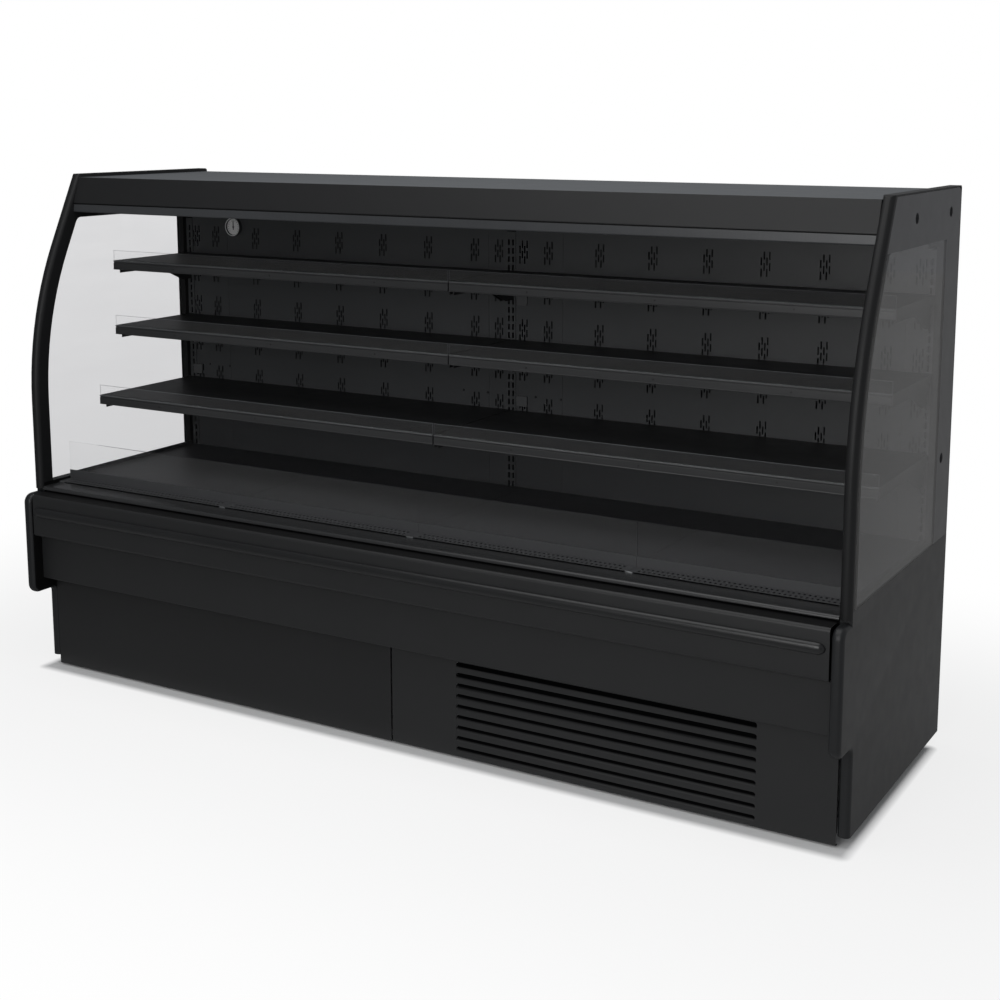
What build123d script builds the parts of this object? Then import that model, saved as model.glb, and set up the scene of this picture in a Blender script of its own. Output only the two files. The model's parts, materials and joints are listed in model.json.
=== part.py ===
from build123d import *
import math
import os

# Open multideck display fridge, 2.5 m long. Millimetres, +Z up.
# The origin is on the floor under the middle of the cabinet: X runs along the
# cabinet, -Y is the open front. "Depth" is always measured forward from the
# rear face, and a height is measured up from the floor.

# ---- Overall size ------------------------------------------------------------
module_length = 1250
module_count = 2
end_thickness = 30
case_height = 1510
case_depth = 850

# ---- Fits --------------------------------------------------------------------
slip = 0.3               # between a loose piece and what it lies on or beside
shaft_play = 0.05        # radial play of a shaft in its bearing

# ---- Sheet metal -------------------------------------------------------------
thin_sheet = 1.2
thick_sheet = 1.5
bend_radius = 2.5        # on the middle of the sheet

# ---- Lower end panels --------------------------------------------------------
lower_end_bottom = 30
lower_end_setback = 5    # behind the bead, which stands furthest forward
lower_end_step = 60
lower_end_step_top = 560
lower_end_underside = 250
toe_lap = 1              # ahead of the kick panels
lower_end_corner_radius = 28
toe_corner_radius = 16
lower_end_edge_radius = 12

# ---- Upper ends: frame with a leaning post, and a glass pane -----------------
post_lap = 12            # ahead of the step of the lower end
post_foot = 568
post_width = 48
post_arc_start = 837
post_arc_radius = 1057
post_lean = 26
post_top_radius = 20
post_nose_width = 20     # the rounded front of the post, ahead of the glass
post_edge_radius = 14
window_head = 131        # from the window's top to the top of the case
window_rear = 127.5
window_corner_radius = 22
glass_thickness = 9.4
glass_border = 4         # frame left around the glass at the top and rear
end_rear_corner_radius = 8
joining_hole_radius = 13
joining_hole_drop = 63
joining_holes = [(400, case_height - joining_hole_drop), (96, case_height - joining_hole_drop), (88.6, 808)]
joining_bolt_room = 1    # added to the radius where the bolt passes the canopy

# ---- Insulated body ----------------------------------------------------------
tub_underside = 285
tub_floor = 325
tub_front_wall = 48
rear_wall = 42
nose_thickness = 10

# ---- Canopy ------------------------------------------------------------------
roof_drop = 10           # below the tops of the ends
roof_setback = 211       # behind the foot of the post
roof_foam = 37
roof_skirt = 30
fascia_lean = 25         # how far the fascia's foot stands ahead of its top
fascia_height = 75
fascia_thickness = 2.5
canopy_height = 100
canopy_liner = 3
canopy_web = 10
canopy_beam_depth = 38
canopy_beam_lift = 15    # above the canopy's underside
honeycomb_width = 105
honeycomb_height = 30
honeycomb_cell = 16
honeycomb_wall = 4
honeycomb_rows = 5
honeycomb_columns = 60
diffuser_drop = 4.4      # below the canopy's underside
diffuser_lean = 2.5
diffuser_thickness = 2.5
diffuser_return = 62
diffuser_gap = 0.5
lamp_width = 24
lamp_height = 12
lamp_length = 1150

# ---- Back wall ---------------------------------------------------------------
back_face_depth = 110.5
back_panel_bottom = 563
panel_seams = (173, 1173)       # from the left end of each module
slit_rows = 5
slit_row_drop = 108.5    # below the canopy's underside
slit_row_pitch = 115.9
slit_group_places = [41.7, 125] + [125 + 166.67 * n for n in range(1, 7)] + [1208.3]
slit_width = 4.5
slit_length = 22
slit_column_pitch = 8
slit_column_count = 4
slit_gap = 8.5
slit_stagger = 15.5

# ---- Shelf uprights ----------------------------------------------------------
upright_width = 32
end_upright_width = 26
upright_proud = 2
upright_sheet = 2
upright_drop = 50        # below the canopy's underside
upright_bottom = 562
upright_slot_offset = 7
end_upright_slot_inset = 14
upright_slot_width = 6
upright_slot_height = 17
upright_slot_pitch = 25

# ---- Shelves -----------------------------------------------------------------
shelf_tiers = {"top": 0.7985, "middle": 0.5467, "lower": 0.28624}   # shares of the room above the deck
shelf_front_depths = {"top": 457.5, "middle": 460, "lower": 541}
shelf_rear_gap = 1.5
shelf_middle_gap = 2
shelf_end_gap = 2
shelf_flange = 20
ticket_rail_depth = 8
ticket_rail_height = 28
ticket_rail_drop = 1
ticket_rail_lip = 3.5
ticket_rail_recess = 1.5
riser_height = 32
riser_thickness = 3
riser_inset = 2.5
bracket_thickness = 3
bracket_height = 40
bracket_root_height = 86
bracket_taper_start = 262
bracket_taper_end = 158
bracket_front_gap = 16

# ---- Deck --------------------------------------------------------------------
deck_height = 586
deck_seams = (-606, 41, 690)
deck_gap = 0.6
deck_end_gap = 0.8
deck_front_gap = 7
deck_rear_gap = 1.5
deck_flange = 25
deck_upstand = 12
deck_upstand_setback = 6        # from the rear edge, so that a lifted pan clears the uprights
deck_sheet = 1.5
support_width = 20
support_height = 30
grille_foot_gap = 0.9
grille_top = 606
grille_foot_top = 579
grille_foot_width = 44.5
grille_slot_pitch = 25
grille_slot_width = 13
grille_slot_length = 32
deck_riser_top = 694
deck_riser_bottom = 588
deck_riser_thickness = 4

# ---- Front: nose, bumper, fascia, kick panels --------------------------------
nose_top = 575
nose_reach = 21.5        # each reach is measured forward from the tub's front
nose_radius = 9
bumper_reach = 68
bumper_top = 559
bumper_bottom = 430
bumper_end_gap = 4
bumper_edge_radius = 10
bead_bottom = 493
bead_top = 523
bead_end_inset = 10
bead_proud = 12
bead_end_radius = 6
fascia_reach = 35
lower_fascia_bottom = 292
lower_fascia_top = 445
kick_setback = 15.5      # behind the tub's front
kick_bottom = 5
kick_flange = 11
kick_split = -1
kick_split_gap = 5
kick_end_gap = 1.5
louvre_start = 205
louvre_end = 1048
louvre_count = 9
louvre_bottom = 20
louvre_pitch = 29.25
louvre_height = 15
louvre_blade_depth = 16
louvre_blade_thickness = 1.5

# ---- Base frame and feet -----------------------------------------------------
rail_size = 40
rail_bottom = 30
rear_rail_depth = 60
post_setback = 5
foot_pad_radius = 22
foot_pad_height = 8
foot_stem_radius = 6
foot_nut_width = 19
foot_nut_height = 7
foot_inset = 100
tray_start = 180
tray_end = 1120
tray_thickness = 3

# ---- Cooling inside the tub --------------------------------------------------
coil_end_gaps = (100, 200)           # left, right
coil_rear_depth = 200
coil_front_depth = 420
coil_height = 140
fin_pitch = 50
fin_thickness = 4
fin_reach = 15
fan_plate_depth = 506.5
fan_plate_height = 200
fan_setback = 6.5        # of the hub's rear face behind the plate
fan_plate_end_gap = 50
fan_places = {"left": -500, "right": 500}
fan_height = 430
evaporator_fan_radius = 96
fan_hub_radius = 26
fan_hub_length = 22
fan_tip_gap = 4
fan_ring_wall = 3
fan_ring_length = 34
fan_pin_radius = 4
fan_boss_radius = 24
fan_boss_length = 20
fan_arm_width = 10
fan_arm_thickness = 4
fan_blade_count = 5
fan_blade_chord = 46
fan_blade_thickness = 2
fan_blade_pitch = 28
fan_hub_gap = 0.5

# ---- Condensing unit in the plinth -------------------------------------------
compressor_place = (880, 330)        # X, depth
compressor_radius = 88
compressor_height = 190
compressor_dome = 45
compressor_base = (250, 200, 4)
compressor_lug = (40, 60, 50)
condenser_span = (270, 560)          # along X
condenser_setback = 90               # of its front behind the tub's front
condenser_thickness = 70
condenser_height = 196
condenser_fin_pitch = 12
condenser_fin_thickness = 2
condenser_fin_reach = 8
condenser_fan_radius = 84
condenser_plate = 2
condenser_fan_lift = 100             # above the tray

# ---- Electrical box and mains inlet ------------------------------------------
box_start = -950
box_length = 300
box_depths = (24, 144)
box_height = 120
box_corner_radius = 6
inlet_width = 34
inlet_height = 27
inlet_length = 16
inlet_wall = 2.5
inlet_pin_width = 2
inlet_pin_height = 8
inlet_pin_pitch = 7

# ---- Thermometer and socket covers -------------------------------------------
dial_place = (-1043, 1327)
dial_radius = 30
dial_thickness = 14
dial_rim = 4
dial_recess = 6
needle_length = 20
needle_tail = 9
needle_width = 3
needle_thickness = 1
needle_hub_radius = 3.5
needle_pin_radius = 1.2
socket_cover_width = 36
socket_cover_height = 31
socket_cover_thickness = 4
socket_cover_radius = 4
# X, height and whether it sits on an upright
socket_covers_places = [(-1216, 846, True), (37, 848, False), (37, 1150, False)]

# ---- Panel screws ------------------------------------------------------------
screw_head_radius = 4
screw_head_height = 1.6
panel_screw_height = 864
panel_screw_offsets = (-90, -5)       # from each seam

# ---- Worked-out sizes --------------------------------------------------------
inner_length = module_length * module_count
inner_half = inner_length / 2
outer_half = inner_half + end_thickness
rear_y = case_depth / 2
bumper_depth = case_depth - bead_proud
bumper_length = inner_length - 2 * bumper_end_gap
tub_front_depth = bumper_depth - bumper_reach
tub_inner_front = tub_front_depth - tub_front_wall
tub_top = nose_top - nose_thickness
nose_depth = tub_front_depth + nose_reach
fascia_face_depth = tub_front_depth + fascia_reach
kick_depth = tub_front_depth - kick_setback
toe_depth = kick_depth + toe_lap
lower_end_top = deck_height
lower_end_depth = case_depth - lower_end_setback
lower_end_step_depth = lower_end_depth - lower_end_step
post_depth = lower_end_step_depth + post_lap
window_top = case_height - window_head
roof_height = case_height - roof_drop
roof_depth = post_depth - roof_setback
canopy_underside = roof_height - canopy_height
canopy_beam_bottom = canopy_underside + canopy_beam_lift
diffuser_bottom = canopy_underside - diffuser_drop
upright_face_depth = back_face_depth + upright_proud
upright_top = canopy_underside - upright_drop
upright_slot_count = int((upright_top - upright_bottom) / upright_slot_pitch) - 1
shelf_heights = {
    row: deck_height + share * (canopy_underside - deck_height) for row, share in shelf_tiers.items()
}
tray_top = rail_bottom + rail_size
slab_bottom = roof_height - thin_sheet - roof_foam
beam_front_depth = roof_depth - fascia_thickness
fascia_bottom = roof_height - fascia_height
fascia_foot_depth = roof_depth + fascia_lean
honeycomb_front_depth = beam_front_depth - canopy_beam_depth
honeycomb_rear_depth = honeycomb_front_depth - honeycomb_width
support_top = deck_height - deck_flange - slip
grille_depth = tub_inner_front - grille_foot_width + thin_sheet - grille_foot_gap
deck_front_depth = grille_depth - deck_front_gap
deck_edges = [-inner_half, *deck_seams, inner_half]


# ---- Helpers -----------------------------------------------------------------
def y_at(depth):
    """The Y of a depth measured forward from the rear face."""
    return rear_y - depth


def across(start, end):
    """The Y range between two depths, lowest first."""
    return (y_at(max(start, end)), y_at(min(start, end)))


def block(x_range, y_range, z_range, mode=Mode.ADD):
    """A box that fills three ranges."""
    middle = [sum(span) / 2 for span in (x_range, y_range, z_range)]
    size = [span[1] - span[0] for span in (x_range, y_range, z_range)]
    with Locations(tuple(middle)):
        Box(*size, mode=mode)


def outline(points):
    """A closed face through (depth, height) points, in a sketch on the YZ plane."""
    Polygon(*[(y_at(depth), height) for depth, height in points], align=None)


def round_corners(sketch, radius, *points):
    """Round the sketch corners that lie nearest to the (depth, height) points."""
    for depth, height in points:
        near = Vector(y_at(depth), height)
        fillet(sketch.vertices().sort_by_distance(near)[0], radius=radius)


def folded(points, thickness, x_range, radius=bend_radius):
    """A folded sheet along X whose middle line follows (depth, height) points."""
    with BuildSketch(Plane.YZ.offset(x_range[0])) as section:
        with BuildLine():
            FilletPolyline(*[(y_at(depth), height) for depth, height in points], radius=radius)
        trace(line_width=thickness)
    extrude(section.sketch, amount=x_range[1] - x_range[0])


def save(piece, name):
    """Label a finished piece and write it to its own file."""
    piece.part.label = name
    export_step(piece.part, f"parts/{name}.step")


os.makedirs("parts", exist_ok=True)


# ---- Base frame, feet ----------------------------------------------------------
front_rail_face = kick_depth - louvre_blade_depth - slip
front_rail = (front_rail_face - rail_size, front_rail_face)
rear_rail = (rear_rail_depth - rail_size, rear_rail_depth)
rail_heights = (rail_bottom, tray_top)
rail_half = inner_half - kick_end_gap
corner_post = rail_half - rail_size / 2
front_post = (front_rail[0] - post_setback, front_rail[1] - post_setback)

with BuildPart() as base_frame:
    for rail in (front_rail, rear_rail):
        block((-rail_half, rail_half), across(*rail), rail_heights)
    for x in (-corner_post, 0, corner_post, tray_start + rail_size / 2, tray_end - rail_size / 2):
        block((x - rail_size / 2, x + rail_size / 2), across(rear_rail[0], front_rail[1]), rail_heights)
    for x in (-corner_post, 0, corner_post):
        for post in (front_post, rear_rail):
            block((x - rail_size / 2, x + rail_size / 2), across(*post), (rail_bottom, tub_underside))
    block((tray_start, tray_end), across(rear_rail[0], front_rail[1]), (tray_top - tray_thickness, tray_top))
save(base_frame, "base_frame")

with BuildPart() as levelling_feet:
    for x in (-inner_half + foot_inset, 0, inner_half - foot_inset):
        for rail in (front_rail, rear_rail):
            with Locations((x, y_at(sum(rail) / 2), 0)):
                Cylinder(foot_pad_radius, foot_pad_height, align=(Align.CENTER, Align.CENTER, Align.MIN))
                Cylinder(foot_stem_radius, rail_bottom, align=(Align.CENTER, Align.CENTER, Align.MIN))
            with BuildSketch(Plane.XY.offset(rail_bottom - foot_nut_height)):
                with Locations((x, y_at(sum(rail) / 2))):
                    RegularPolygon(foot_nut_width / 2, 6, major_radius=False)
            extrude(amount=foot_nut_height)
save(levelling_feet, "levelling_feet")

# ---- Insulated body and deck supports -------------------------------------------
with BuildPart() as insulated_body:
    with BuildSketch(Plane.YZ.offset(-inner_half)):
        outline([
            (0, tub_underside), (tub_front_depth, tub_underside), (tub_front_depth, tub_top),
            (tub_inner_front, tub_top), (tub_inner_front, tub_floor), (rear_wall, tub_floor),
            (rear_wall, slab_bottom), (0, slab_bottom),
        ])
    extrude(amount=inner_length)
save(insulated_body, "insulated_body")

support_foot = grille_depth - thin_sheet - deck_riser_thickness - slip
grille_underside = grille_foot_top - thin_sheet
with BuildPart() as deck_supports:
    for x in (-inner_half + support_width / 2, *deck_seams, inner_half - support_width / 2):
        with BuildSketch(Plane.YZ.offset(x - support_width / 2)):
            outline([
                (rear_wall, support_top - support_height), (tub_inner_front, support_top - support_height),
                (tub_inner_front, grille_underside), (support_foot, grille_underside),
                (support_foot, support_top), (rear_wall, support_top),
            ])
        extrude(amount=support_width)
save(deck_supports, "deck_supports")

# ---- Canopy -----------------------------------------------------------------
with BuildPart() as canopy_body:
    whole_length = (-inner_half, inner_half)
    block(whole_length, across(thin_sheet, beam_front_depth), (slab_bottom, roof_height - thin_sheet))
    slab_top_edges = canopy_body.edges().filter_by(Axis.X).group_by(Axis.Z)[-1]
    fillet(slab_top_edges.sort_by(Axis.Y)[-1], radius=bend_radius)
    block(whole_length, across(honeycomb_front_depth, beam_front_depth), (canopy_beam_bottom, slab_bottom))
    block(
        whole_length,
        across(back_face_depth - thin_sheet, honeycomb_rear_depth),
        (canopy_underside, canopy_underside + canopy_liner),
    )
    for x in (-inner_half + canopy_web / 2, 0, inner_half - canopy_web / 2):
        block(
            (x - canopy_web / 2, x + canopy_web / 2),
            across(rear_wall + upright_sheet, honeycomb_rear_depth),
            (canopy_underside, slab_bottom),
        )
    block(
        (-canopy_web / 2, canopy_web / 2),
        across(honeycomb_rear_depth, honeycomb_front_depth),
        (canopy_underside + honeycomb_height, slab_bottom),
    )
    with BuildSketch(Plane.YZ.offset(-inner_half)):
        for depth, height in joining_holes[:2]:
            with Locations((y_at(depth), height)):
                Circle(joining_hole_radius + joining_bolt_room)
    extrude(amount=inner_length, mode=Mode.SUBTRACT)
save(canopy_body, "canopy_body")

with BuildPart() as roof_panel:
    folded(
        [
            (thin_sheet / 2, roof_height - roof_skirt),
            (thin_sheet / 2, roof_height - thin_sheet / 2),
            (roof_depth - fascia_thickness, roof_height - thin_sheet / 2),
        ],
        thin_sheet,
        (-inner_half, inner_half),
    )
save(roof_panel, "roof_panel")

with BuildPart() as canopy_fascia:
    with BuildSketch(Plane.YZ.offset(-inner_half)):
        outline([
            (roof_depth, roof_height), (fascia_foot_depth, fascia_bottom),
            (fascia_foot_depth, fascia_bottom - fascia_thickness),
            (beam_front_depth, fascia_bottom - fascia_thickness),
            (beam_front_depth, fascia_bottom),
            (fascia_foot_depth - fascia_thickness, fascia_bottom),
            (roof_depth - fascia_thickness, roof_height),
        ])
    extrude(amount=inner_length)
save(canopy_fascia, "canopy_fascia")

diffuser_top = fascia_bottom - fascia_thickness - diffuser_gap
diffuser_face = fascia_foot_depth - diffuser_thickness / 2
with BuildPart() as light_diffuser:
    folded(
        [
            (diffuser_face, diffuser_top),
            (diffuser_face + diffuser_lean, diffuser_bottom + diffuser_thickness / 2),
            (diffuser_face + diffuser_lean - diffuser_return, diffuser_bottom + diffuser_thickness / 2),
        ],
        diffuser_thickness,
        (-inner_half, inner_half),
    )
save(light_diffuser, "light_diffuser")

lamp_middle = beam_front_depth - canopy_beam_depth / 2
with BuildPart() as led_lamps:
    for side in (-1, 1):
        x = side * module_length / 2
        block(
            (x - lamp_length / 2, x + lamp_length / 2),
            across(lamp_middle - lamp_width / 2, lamp_middle + lamp_width / 2),
            (canopy_beam_bottom - lamp_height, canopy_beam_bottom),
        )
save(led_lamps, "led_lamps")

honeycomb_middle = (honeycomb_rear_depth + honeycomb_front_depth) / 2
with BuildPart() as air_honeycomb:
    with BuildSketch(Plane.XY.offset(canopy_underside)):
        with Locations((0, y_at(honeycomb_middle))):
            Rectangle(inner_length, honeycomb_width)
            cell_pitch = inner_length / honeycomb_columns
            row_pitch = honeycomb_cell + honeycomb_wall
            with GridLocations(cell_pitch, row_pitch, honeycomb_columns, honeycomb_rows):
                Rectangle(cell_pitch - honeycomb_wall, honeycomb_cell, mode=Mode.SUBTRACT)
    extrude(amount=honeycomb_height)
save(air_honeycomb, "air_honeycomb")

# ---- Back wall and uprights -------------------------------------------------------
slit_block = slit_length + slit_gap


def slit_places(module_start):
    """The middle of every air slit of one module: rows of groups, each of staggered columns."""
    for place in slit_group_places:
        for row in range(slit_rows):
            for column in range(slit_column_count):
                x = module_start + place + (column - (slit_column_count - 1) / 2) * slit_column_pitch
                row_top = canopy_underside - slit_row_drop
                middle = row_top - row * slit_row_pitch + (column % 2 - 0.5) * slit_stagger
                yield x, middle - slit_block / 2
                yield x, middle + slit_block / 2


with BuildPart() as back_panels:
    with BuildSketch(Plane.XZ.offset(-y_at(back_face_depth - thin_sheet))):
        for module in range(module_count):
            start = -inner_half + module * module_length
            first = start + (end_upright_width if module == 0 else upright_width / 2)
            last = start + module_length
            last -= end_upright_width if module == module_count - 1 else upright_width / 2
            edges = [first, start + panel_seams[0], start + panel_seams[1], last]
            for left, right in zip(edges, edges[1:]):
                with Locations(((left + right) / 2, (back_panel_bottom + canopy_underside) / 2)):
                    Rectangle(right - left - 2 * slip, canopy_underside - back_panel_bottom)
            with Locations(*slit_places(start)):
                Rectangle(slit_width, slit_length, mode=Mode.SUBTRACT)
    extrude(amount=thin_sheet)
save(back_panels, "back_panels")


def upright(x_range, slot_places):
    """A deep channel on the rear wall, slotted in front for the shelf brackets."""
    block(x_range, across(rear_wall, upright_face_depth), (upright_bottom, upright_top))
    block(
        (x_range[0] + upright_sheet, x_range[1] - upright_sheet),
        across(rear_wall, upright_face_depth - upright_sheet),
        (upright_bottom, upright_top),
        mode=Mode.SUBTRACT,
    )
    with BuildSketch(Plane.XZ.offset(-y_at(back_face_depth - upright_sheet))) as slots:
        for x in slot_places:
            with Locations((x, (upright_bottom + upright_top) / 2)):
                with GridLocations(0, upright_slot_pitch, 1, upright_slot_count):
                    Rectangle(upright_slot_width, upright_slot_height)
    extrude(slots.sketch, amount=2 * upright_sheet + upright_proud, mode=Mode.SUBTRACT)


end_slot = inner_half - end_upright_slot_inset
with BuildPart() as shelf_uprights:
    upright((-upright_width / 2, upright_width / 2), (-upright_slot_offset, upright_slot_offset))
    upright((-inner_half, -inner_half + end_upright_width), (-end_slot,))
    upright((inner_half - end_upright_width, inner_half), (end_slot,))
save(shelf_uprights, "shelf_uprights")


# ---- Ends ---------------------------------------------------------------------
def post_edge(inset, bottom, top):
    """The leaning front edge of an upper end: a line, an arc and a line."""
    front = y_at(post_depth - inset)
    radius = post_arc_radius - inset
    Line((front, bottom), (front, post_arc_start))
    bend = CenterArc((front + radius, post_arc_start), radius, 180, -post_lean)
    run = (top - (bend @ 1).Y) * math.tan(math.radians(post_lean))
    return Line(bend @ 1, ((bend @ 1).X + run, top))


def behind_post(inset, rear_depth, bottom, top):
    """The face between the post's leaning edge and a vertical rear edge."""
    with BuildLine() as edge:
        upper = post_edge(inset, bottom, top)
        front = y_at(post_depth - inset)
        Polyline(upper @ 1, (y_at(rear_depth), top), (y_at(rear_depth), bottom), (front, bottom))
    make_face(edge.edges())
    return y_at(0) - (upper @ 1).X


def cut_joining_holes(start, length):
    """The holes that bolt two cabinets end to end."""
    with BuildSketch(Plane.YZ.offset(start)) as holes:
        for depth, height in joining_holes:
            with Locations((y_at(depth), height)):
                Circle(joining_hole_radius)
    extrude(holes.sketch, amount=length, mode=Mode.SUBTRACT)


def end_frame(side):
    """The black frame of an upper end: post, top bar and rear bar, rebated for the glass."""
    inner = side * inner_half
    thickness = side * end_thickness
    with BuildPart() as frame:
        with BuildSketch(Plane.YZ.offset(inner)):
            behind_post(0, 0, lower_end_top, case_height)
            outline([
                (lower_end_step_depth + slip, post_foot), (post_depth, post_foot),
                (post_depth, lower_end_top), (lower_end_step_depth + slip, lower_end_top),
            ])
        extrude(amount=thickness)
        nose_edges = frame.edges().filter_by(lambda edge: abs(edge.tangent_at(0.5).X) < 0.01)
        nose_edges = nose_edges.filter_by(lambda edge: edge.length > post_width)
        nose_edges = nose_edges.filter_by(lambda edge: edge.center().Y < y_at(roof_depth))
        nose_edges = nose_edges.filter_by(lambda edge: abs(edge.tangent_at(0.5).Z) > 0.5)
        fillet(nose_edges, radius=post_edge_radius)
        with BuildSketch(Plane.YZ.offset(inner)) as trim:
            corner = behind_post(-1, 0, post_foot, case_height)
            round_corners(trim, post_top_radius, (corner, case_height))
            round_corners(trim, end_rear_corner_radius, (0, case_height))
        extrude(amount=thickness, mode=Mode.INTERSECT)
        with BuildSketch(Plane.YZ.offset(inner)) as window:
            corner = behind_post(post_width, window_rear, lower_end_top, window_top)
            round_corners(window, window_corner_radius, (corner, window_top), (window_rear, window_top))
        extrude(amount=thickness, mode=Mode.SUBTRACT)
        with BuildSketch(Plane.YZ.offset(side * (outer_half - glass_thickness))):
            behind_post(post_nose_width, glass_border, lower_end_top, case_height - glass_border)
        extrude(amount=side * glass_thickness, mode=Mode.SUBTRACT)
        cut_joining_holes(inner, thickness)
    return frame.part


def glass_pane(side):
    """The clear pane of an upper end, flush with the frame's outer face."""
    with BuildPart() as pane:
        with BuildSketch(Plane.YZ.offset(side * (outer_half - glass_thickness))):
            pane_gap = glass_border + slip
            behind_post(post_nose_width + slip, pane_gap, lower_end_top, case_height - pane_gap)
        extrude(amount=side * glass_thickness)
        cut_joining_holes(side * inner_half, side * end_thickness)
    return pane.part


def lower_end(side):
    """The solid lower end panel, with a rounded toe recess and rounded front edges."""
    with BuildPart() as panel:
        with BuildSketch(Plane.YZ.offset(side * inner_half)) as profile:
            outline([
                (0, lower_end_bottom), (toe_depth, lower_end_bottom), (toe_depth, lower_end_underside),
                (lower_end_depth, lower_end_underside), (lower_end_depth, lower_end_step_top),
                (lower_end_step_depth, lower_end_step_top), (lower_end_step_depth, lower_end_top),
                (0, lower_end_top),
            ])
            round_corners(
                profile, lower_end_corner_radius,
                (lower_end_depth, lower_end_underside), (lower_end_depth, lower_end_step_top),
            )
            round_corners(profile, toe_corner_radius, (toe_depth, lower_end_underside))
        extrude(amount=side * end_thickness)
        front_edges = panel.edges().filter_by(lambda edge: abs(edge.tangent_at(0.5).X) < 0.01)
        front_edges = front_edges.filter_by(lambda edge: edge.center().Y < y_at(lower_end_step_depth + 1))
        fillet(front_edges, radius=lower_end_edge_radius)
    return panel.part


with BuildPart() as end_frames:
    for side in (-1, 1):
        add(end_frame(side))
save(end_frames, "end_frames")

with BuildPart() as end_glass:
    for side in (-1, 1):
        add(glass_pane(side))
save(end_glass, "end_glass")

with BuildPart() as lower_ends:
    for side in (-1, 1):
        add(lower_end(side))
save(lower_ends, "lower_ends")

# ---- Deck: pans, return grille, risers ---------------------------------------
deck_rear_depth = upright_face_depth + deck_rear_gap
for number, (left, right) in enumerate(zip(deck_edges, deck_edges[1:]), start=1):
    first = left + (deck_end_gap if number == 1 else deck_gap / 2)
    last = right - (deck_end_gap if right == inner_half else deck_gap / 2)
    pan_depths = across(deck_rear_depth, deck_front_depth)
    with BuildPart() as deck_pan:
        block((first, last), pan_depths, (deck_height - deck_flange, deck_height))
        block(
            (first + deck_sheet, last - deck_sheet),
            across(deck_rear_depth + deck_sheet, deck_front_depth - deck_sheet),
            (deck_height - deck_flange, deck_height - deck_sheet),
            mode=Mode.SUBTRACT,
        )
        upstand_depths = (deck_rear_depth + deck_upstand_setback, deck_front_depth)
        upstand_heights = (deck_height - deck_sheet, deck_height + deck_upstand)
        if number == 1:
            block((first, first + deck_sheet), across(*upstand_depths), upstand_heights)
        if right == inner_half:
            block((last - deck_sheet, last), across(*upstand_depths), upstand_heights)
    save(deck_pan, f"deck_pan_{number}")

with BuildPart() as return_grilles:
    grille_rear = grille_depth - thin_sheet
    foot_middle = grille_rear + grille_foot_width / 2
    for left, right in zip(deck_edges, deck_edges[1:]):
        x_range = (left + deck_gap / 2, right - deck_gap / 2)
        block(x_range, across(grille_rear, grille_depth), (grille_underside, grille_top))
        foot_depths = across(grille_rear, grille_rear + grille_foot_width)
        block(x_range, foot_depths, (grille_underside, grille_foot_top))
    with BuildSketch(Plane.XY.offset(grille_underside)):
        for left, right in zip(deck_edges, deck_edges[1:]):
            count = int((right - left - 2 * grille_slot_width) / grille_slot_pitch)
            with Locations(((left + right) / 2, y_at(foot_middle))):
                with GridLocations(grille_slot_pitch, 0, count, 1):
                    Rectangle(grille_slot_width, grille_slot_length)
    extrude(amount=thin_sheet, mode=Mode.SUBTRACT)
save(return_grilles, "return_grilles")

with BuildPart() as deck_risers:
    for left, right in zip(deck_edges, deck_edges[1:]):
        block(
            (left + deck_gap, right - deck_gap),
            across(grille_rear - deck_riser_thickness, grille_rear),
            (deck_riser_bottom, deck_riser_top),
        )
save(deck_risers, "deck_risers")

# ---- Front profiles -----------------------------------------------------------
with BuildPart() as nose_profile:
    with BuildSketch(Plane.YZ.offset(-inner_half)) as nose_section:
        outline([
            (tub_inner_front, tub_top), (nose_depth, tub_top),
            (nose_depth, nose_top), (tub_inner_front, nose_top),
        ])
        round_corners(nose_section, nose_radius, (nose_depth, nose_top))
    extrude(amount=inner_length)
save(nose_profile, "nose_profile")

half_sheet = thick_sheet / 2
with BuildPart() as bumper_panel:
    folded(
        [
            (tub_front_depth, bumper_top - half_sheet),
            (bumper_depth - half_sheet, bumper_top - half_sheet),
            (bumper_depth - half_sheet, bumper_bottom + half_sheet),
            (fascia_face_depth, bumper_bottom + half_sheet),
        ],
        thick_sheet,
        (-bumper_length / 2, bumper_length / 2),
        bumper_edge_radius,
    )
save(bumper_panel, "bumper_panel")

bead_half = bumper_length / 2 - bead_end_inset
with BuildPart() as bumper_bead:
    with BuildSketch(Plane.YZ.offset(-bead_half)):
        with BuildLine():
            bead_foot = Line((y_at(bumper_depth), bead_bottom), (y_at(bumper_depth), bead_top))
            ThreePointArc(
                bead_foot @ 1, (y_at(case_depth), (bead_bottom + bead_top) / 2), bead_foot @ 0
            )
        make_face()
    extrude(amount=2 * bead_half)
    ends = bumper_bead.faces().filter_by(Axis.X).edges()
    fillet(ends.filter_by(GeomType.CIRCLE), radius=bead_end_radius)
save(bumper_bead, "bumper_bead")

with BuildPart() as lower_fascia:
    folded(
        [
            (fascia_face_depth - half_sheet, lower_fascia_top),
            (fascia_face_depth - half_sheet, lower_fascia_bottom + half_sheet),
            (tub_front_depth, lower_fascia_bottom + half_sheet),
        ],
        thick_sheet,
        (-inner_half, inner_half),
    )
save(lower_fascia, "lower_fascia")

kick_middle = kick_depth - thin_sheet / 2
kick_top = tub_underside - slip
kick_profile = [
    (kick_depth - kick_flange, kick_bottom + thin_sheet / 2),
    (kick_middle, kick_bottom + thin_sheet / 2),
    (kick_middle, kick_top - thin_sheet / 2),
    (kick_depth - kick_flange, kick_top - thin_sheet / 2),
]
kick_half = inner_half - kick_end_gap
with BuildPart() as kick_panel_left:
    folded(kick_profile, thin_sheet, (-kick_half, kick_split - kick_split_gap / 2))
save(kick_panel_left, "kick_panel_left")

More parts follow.
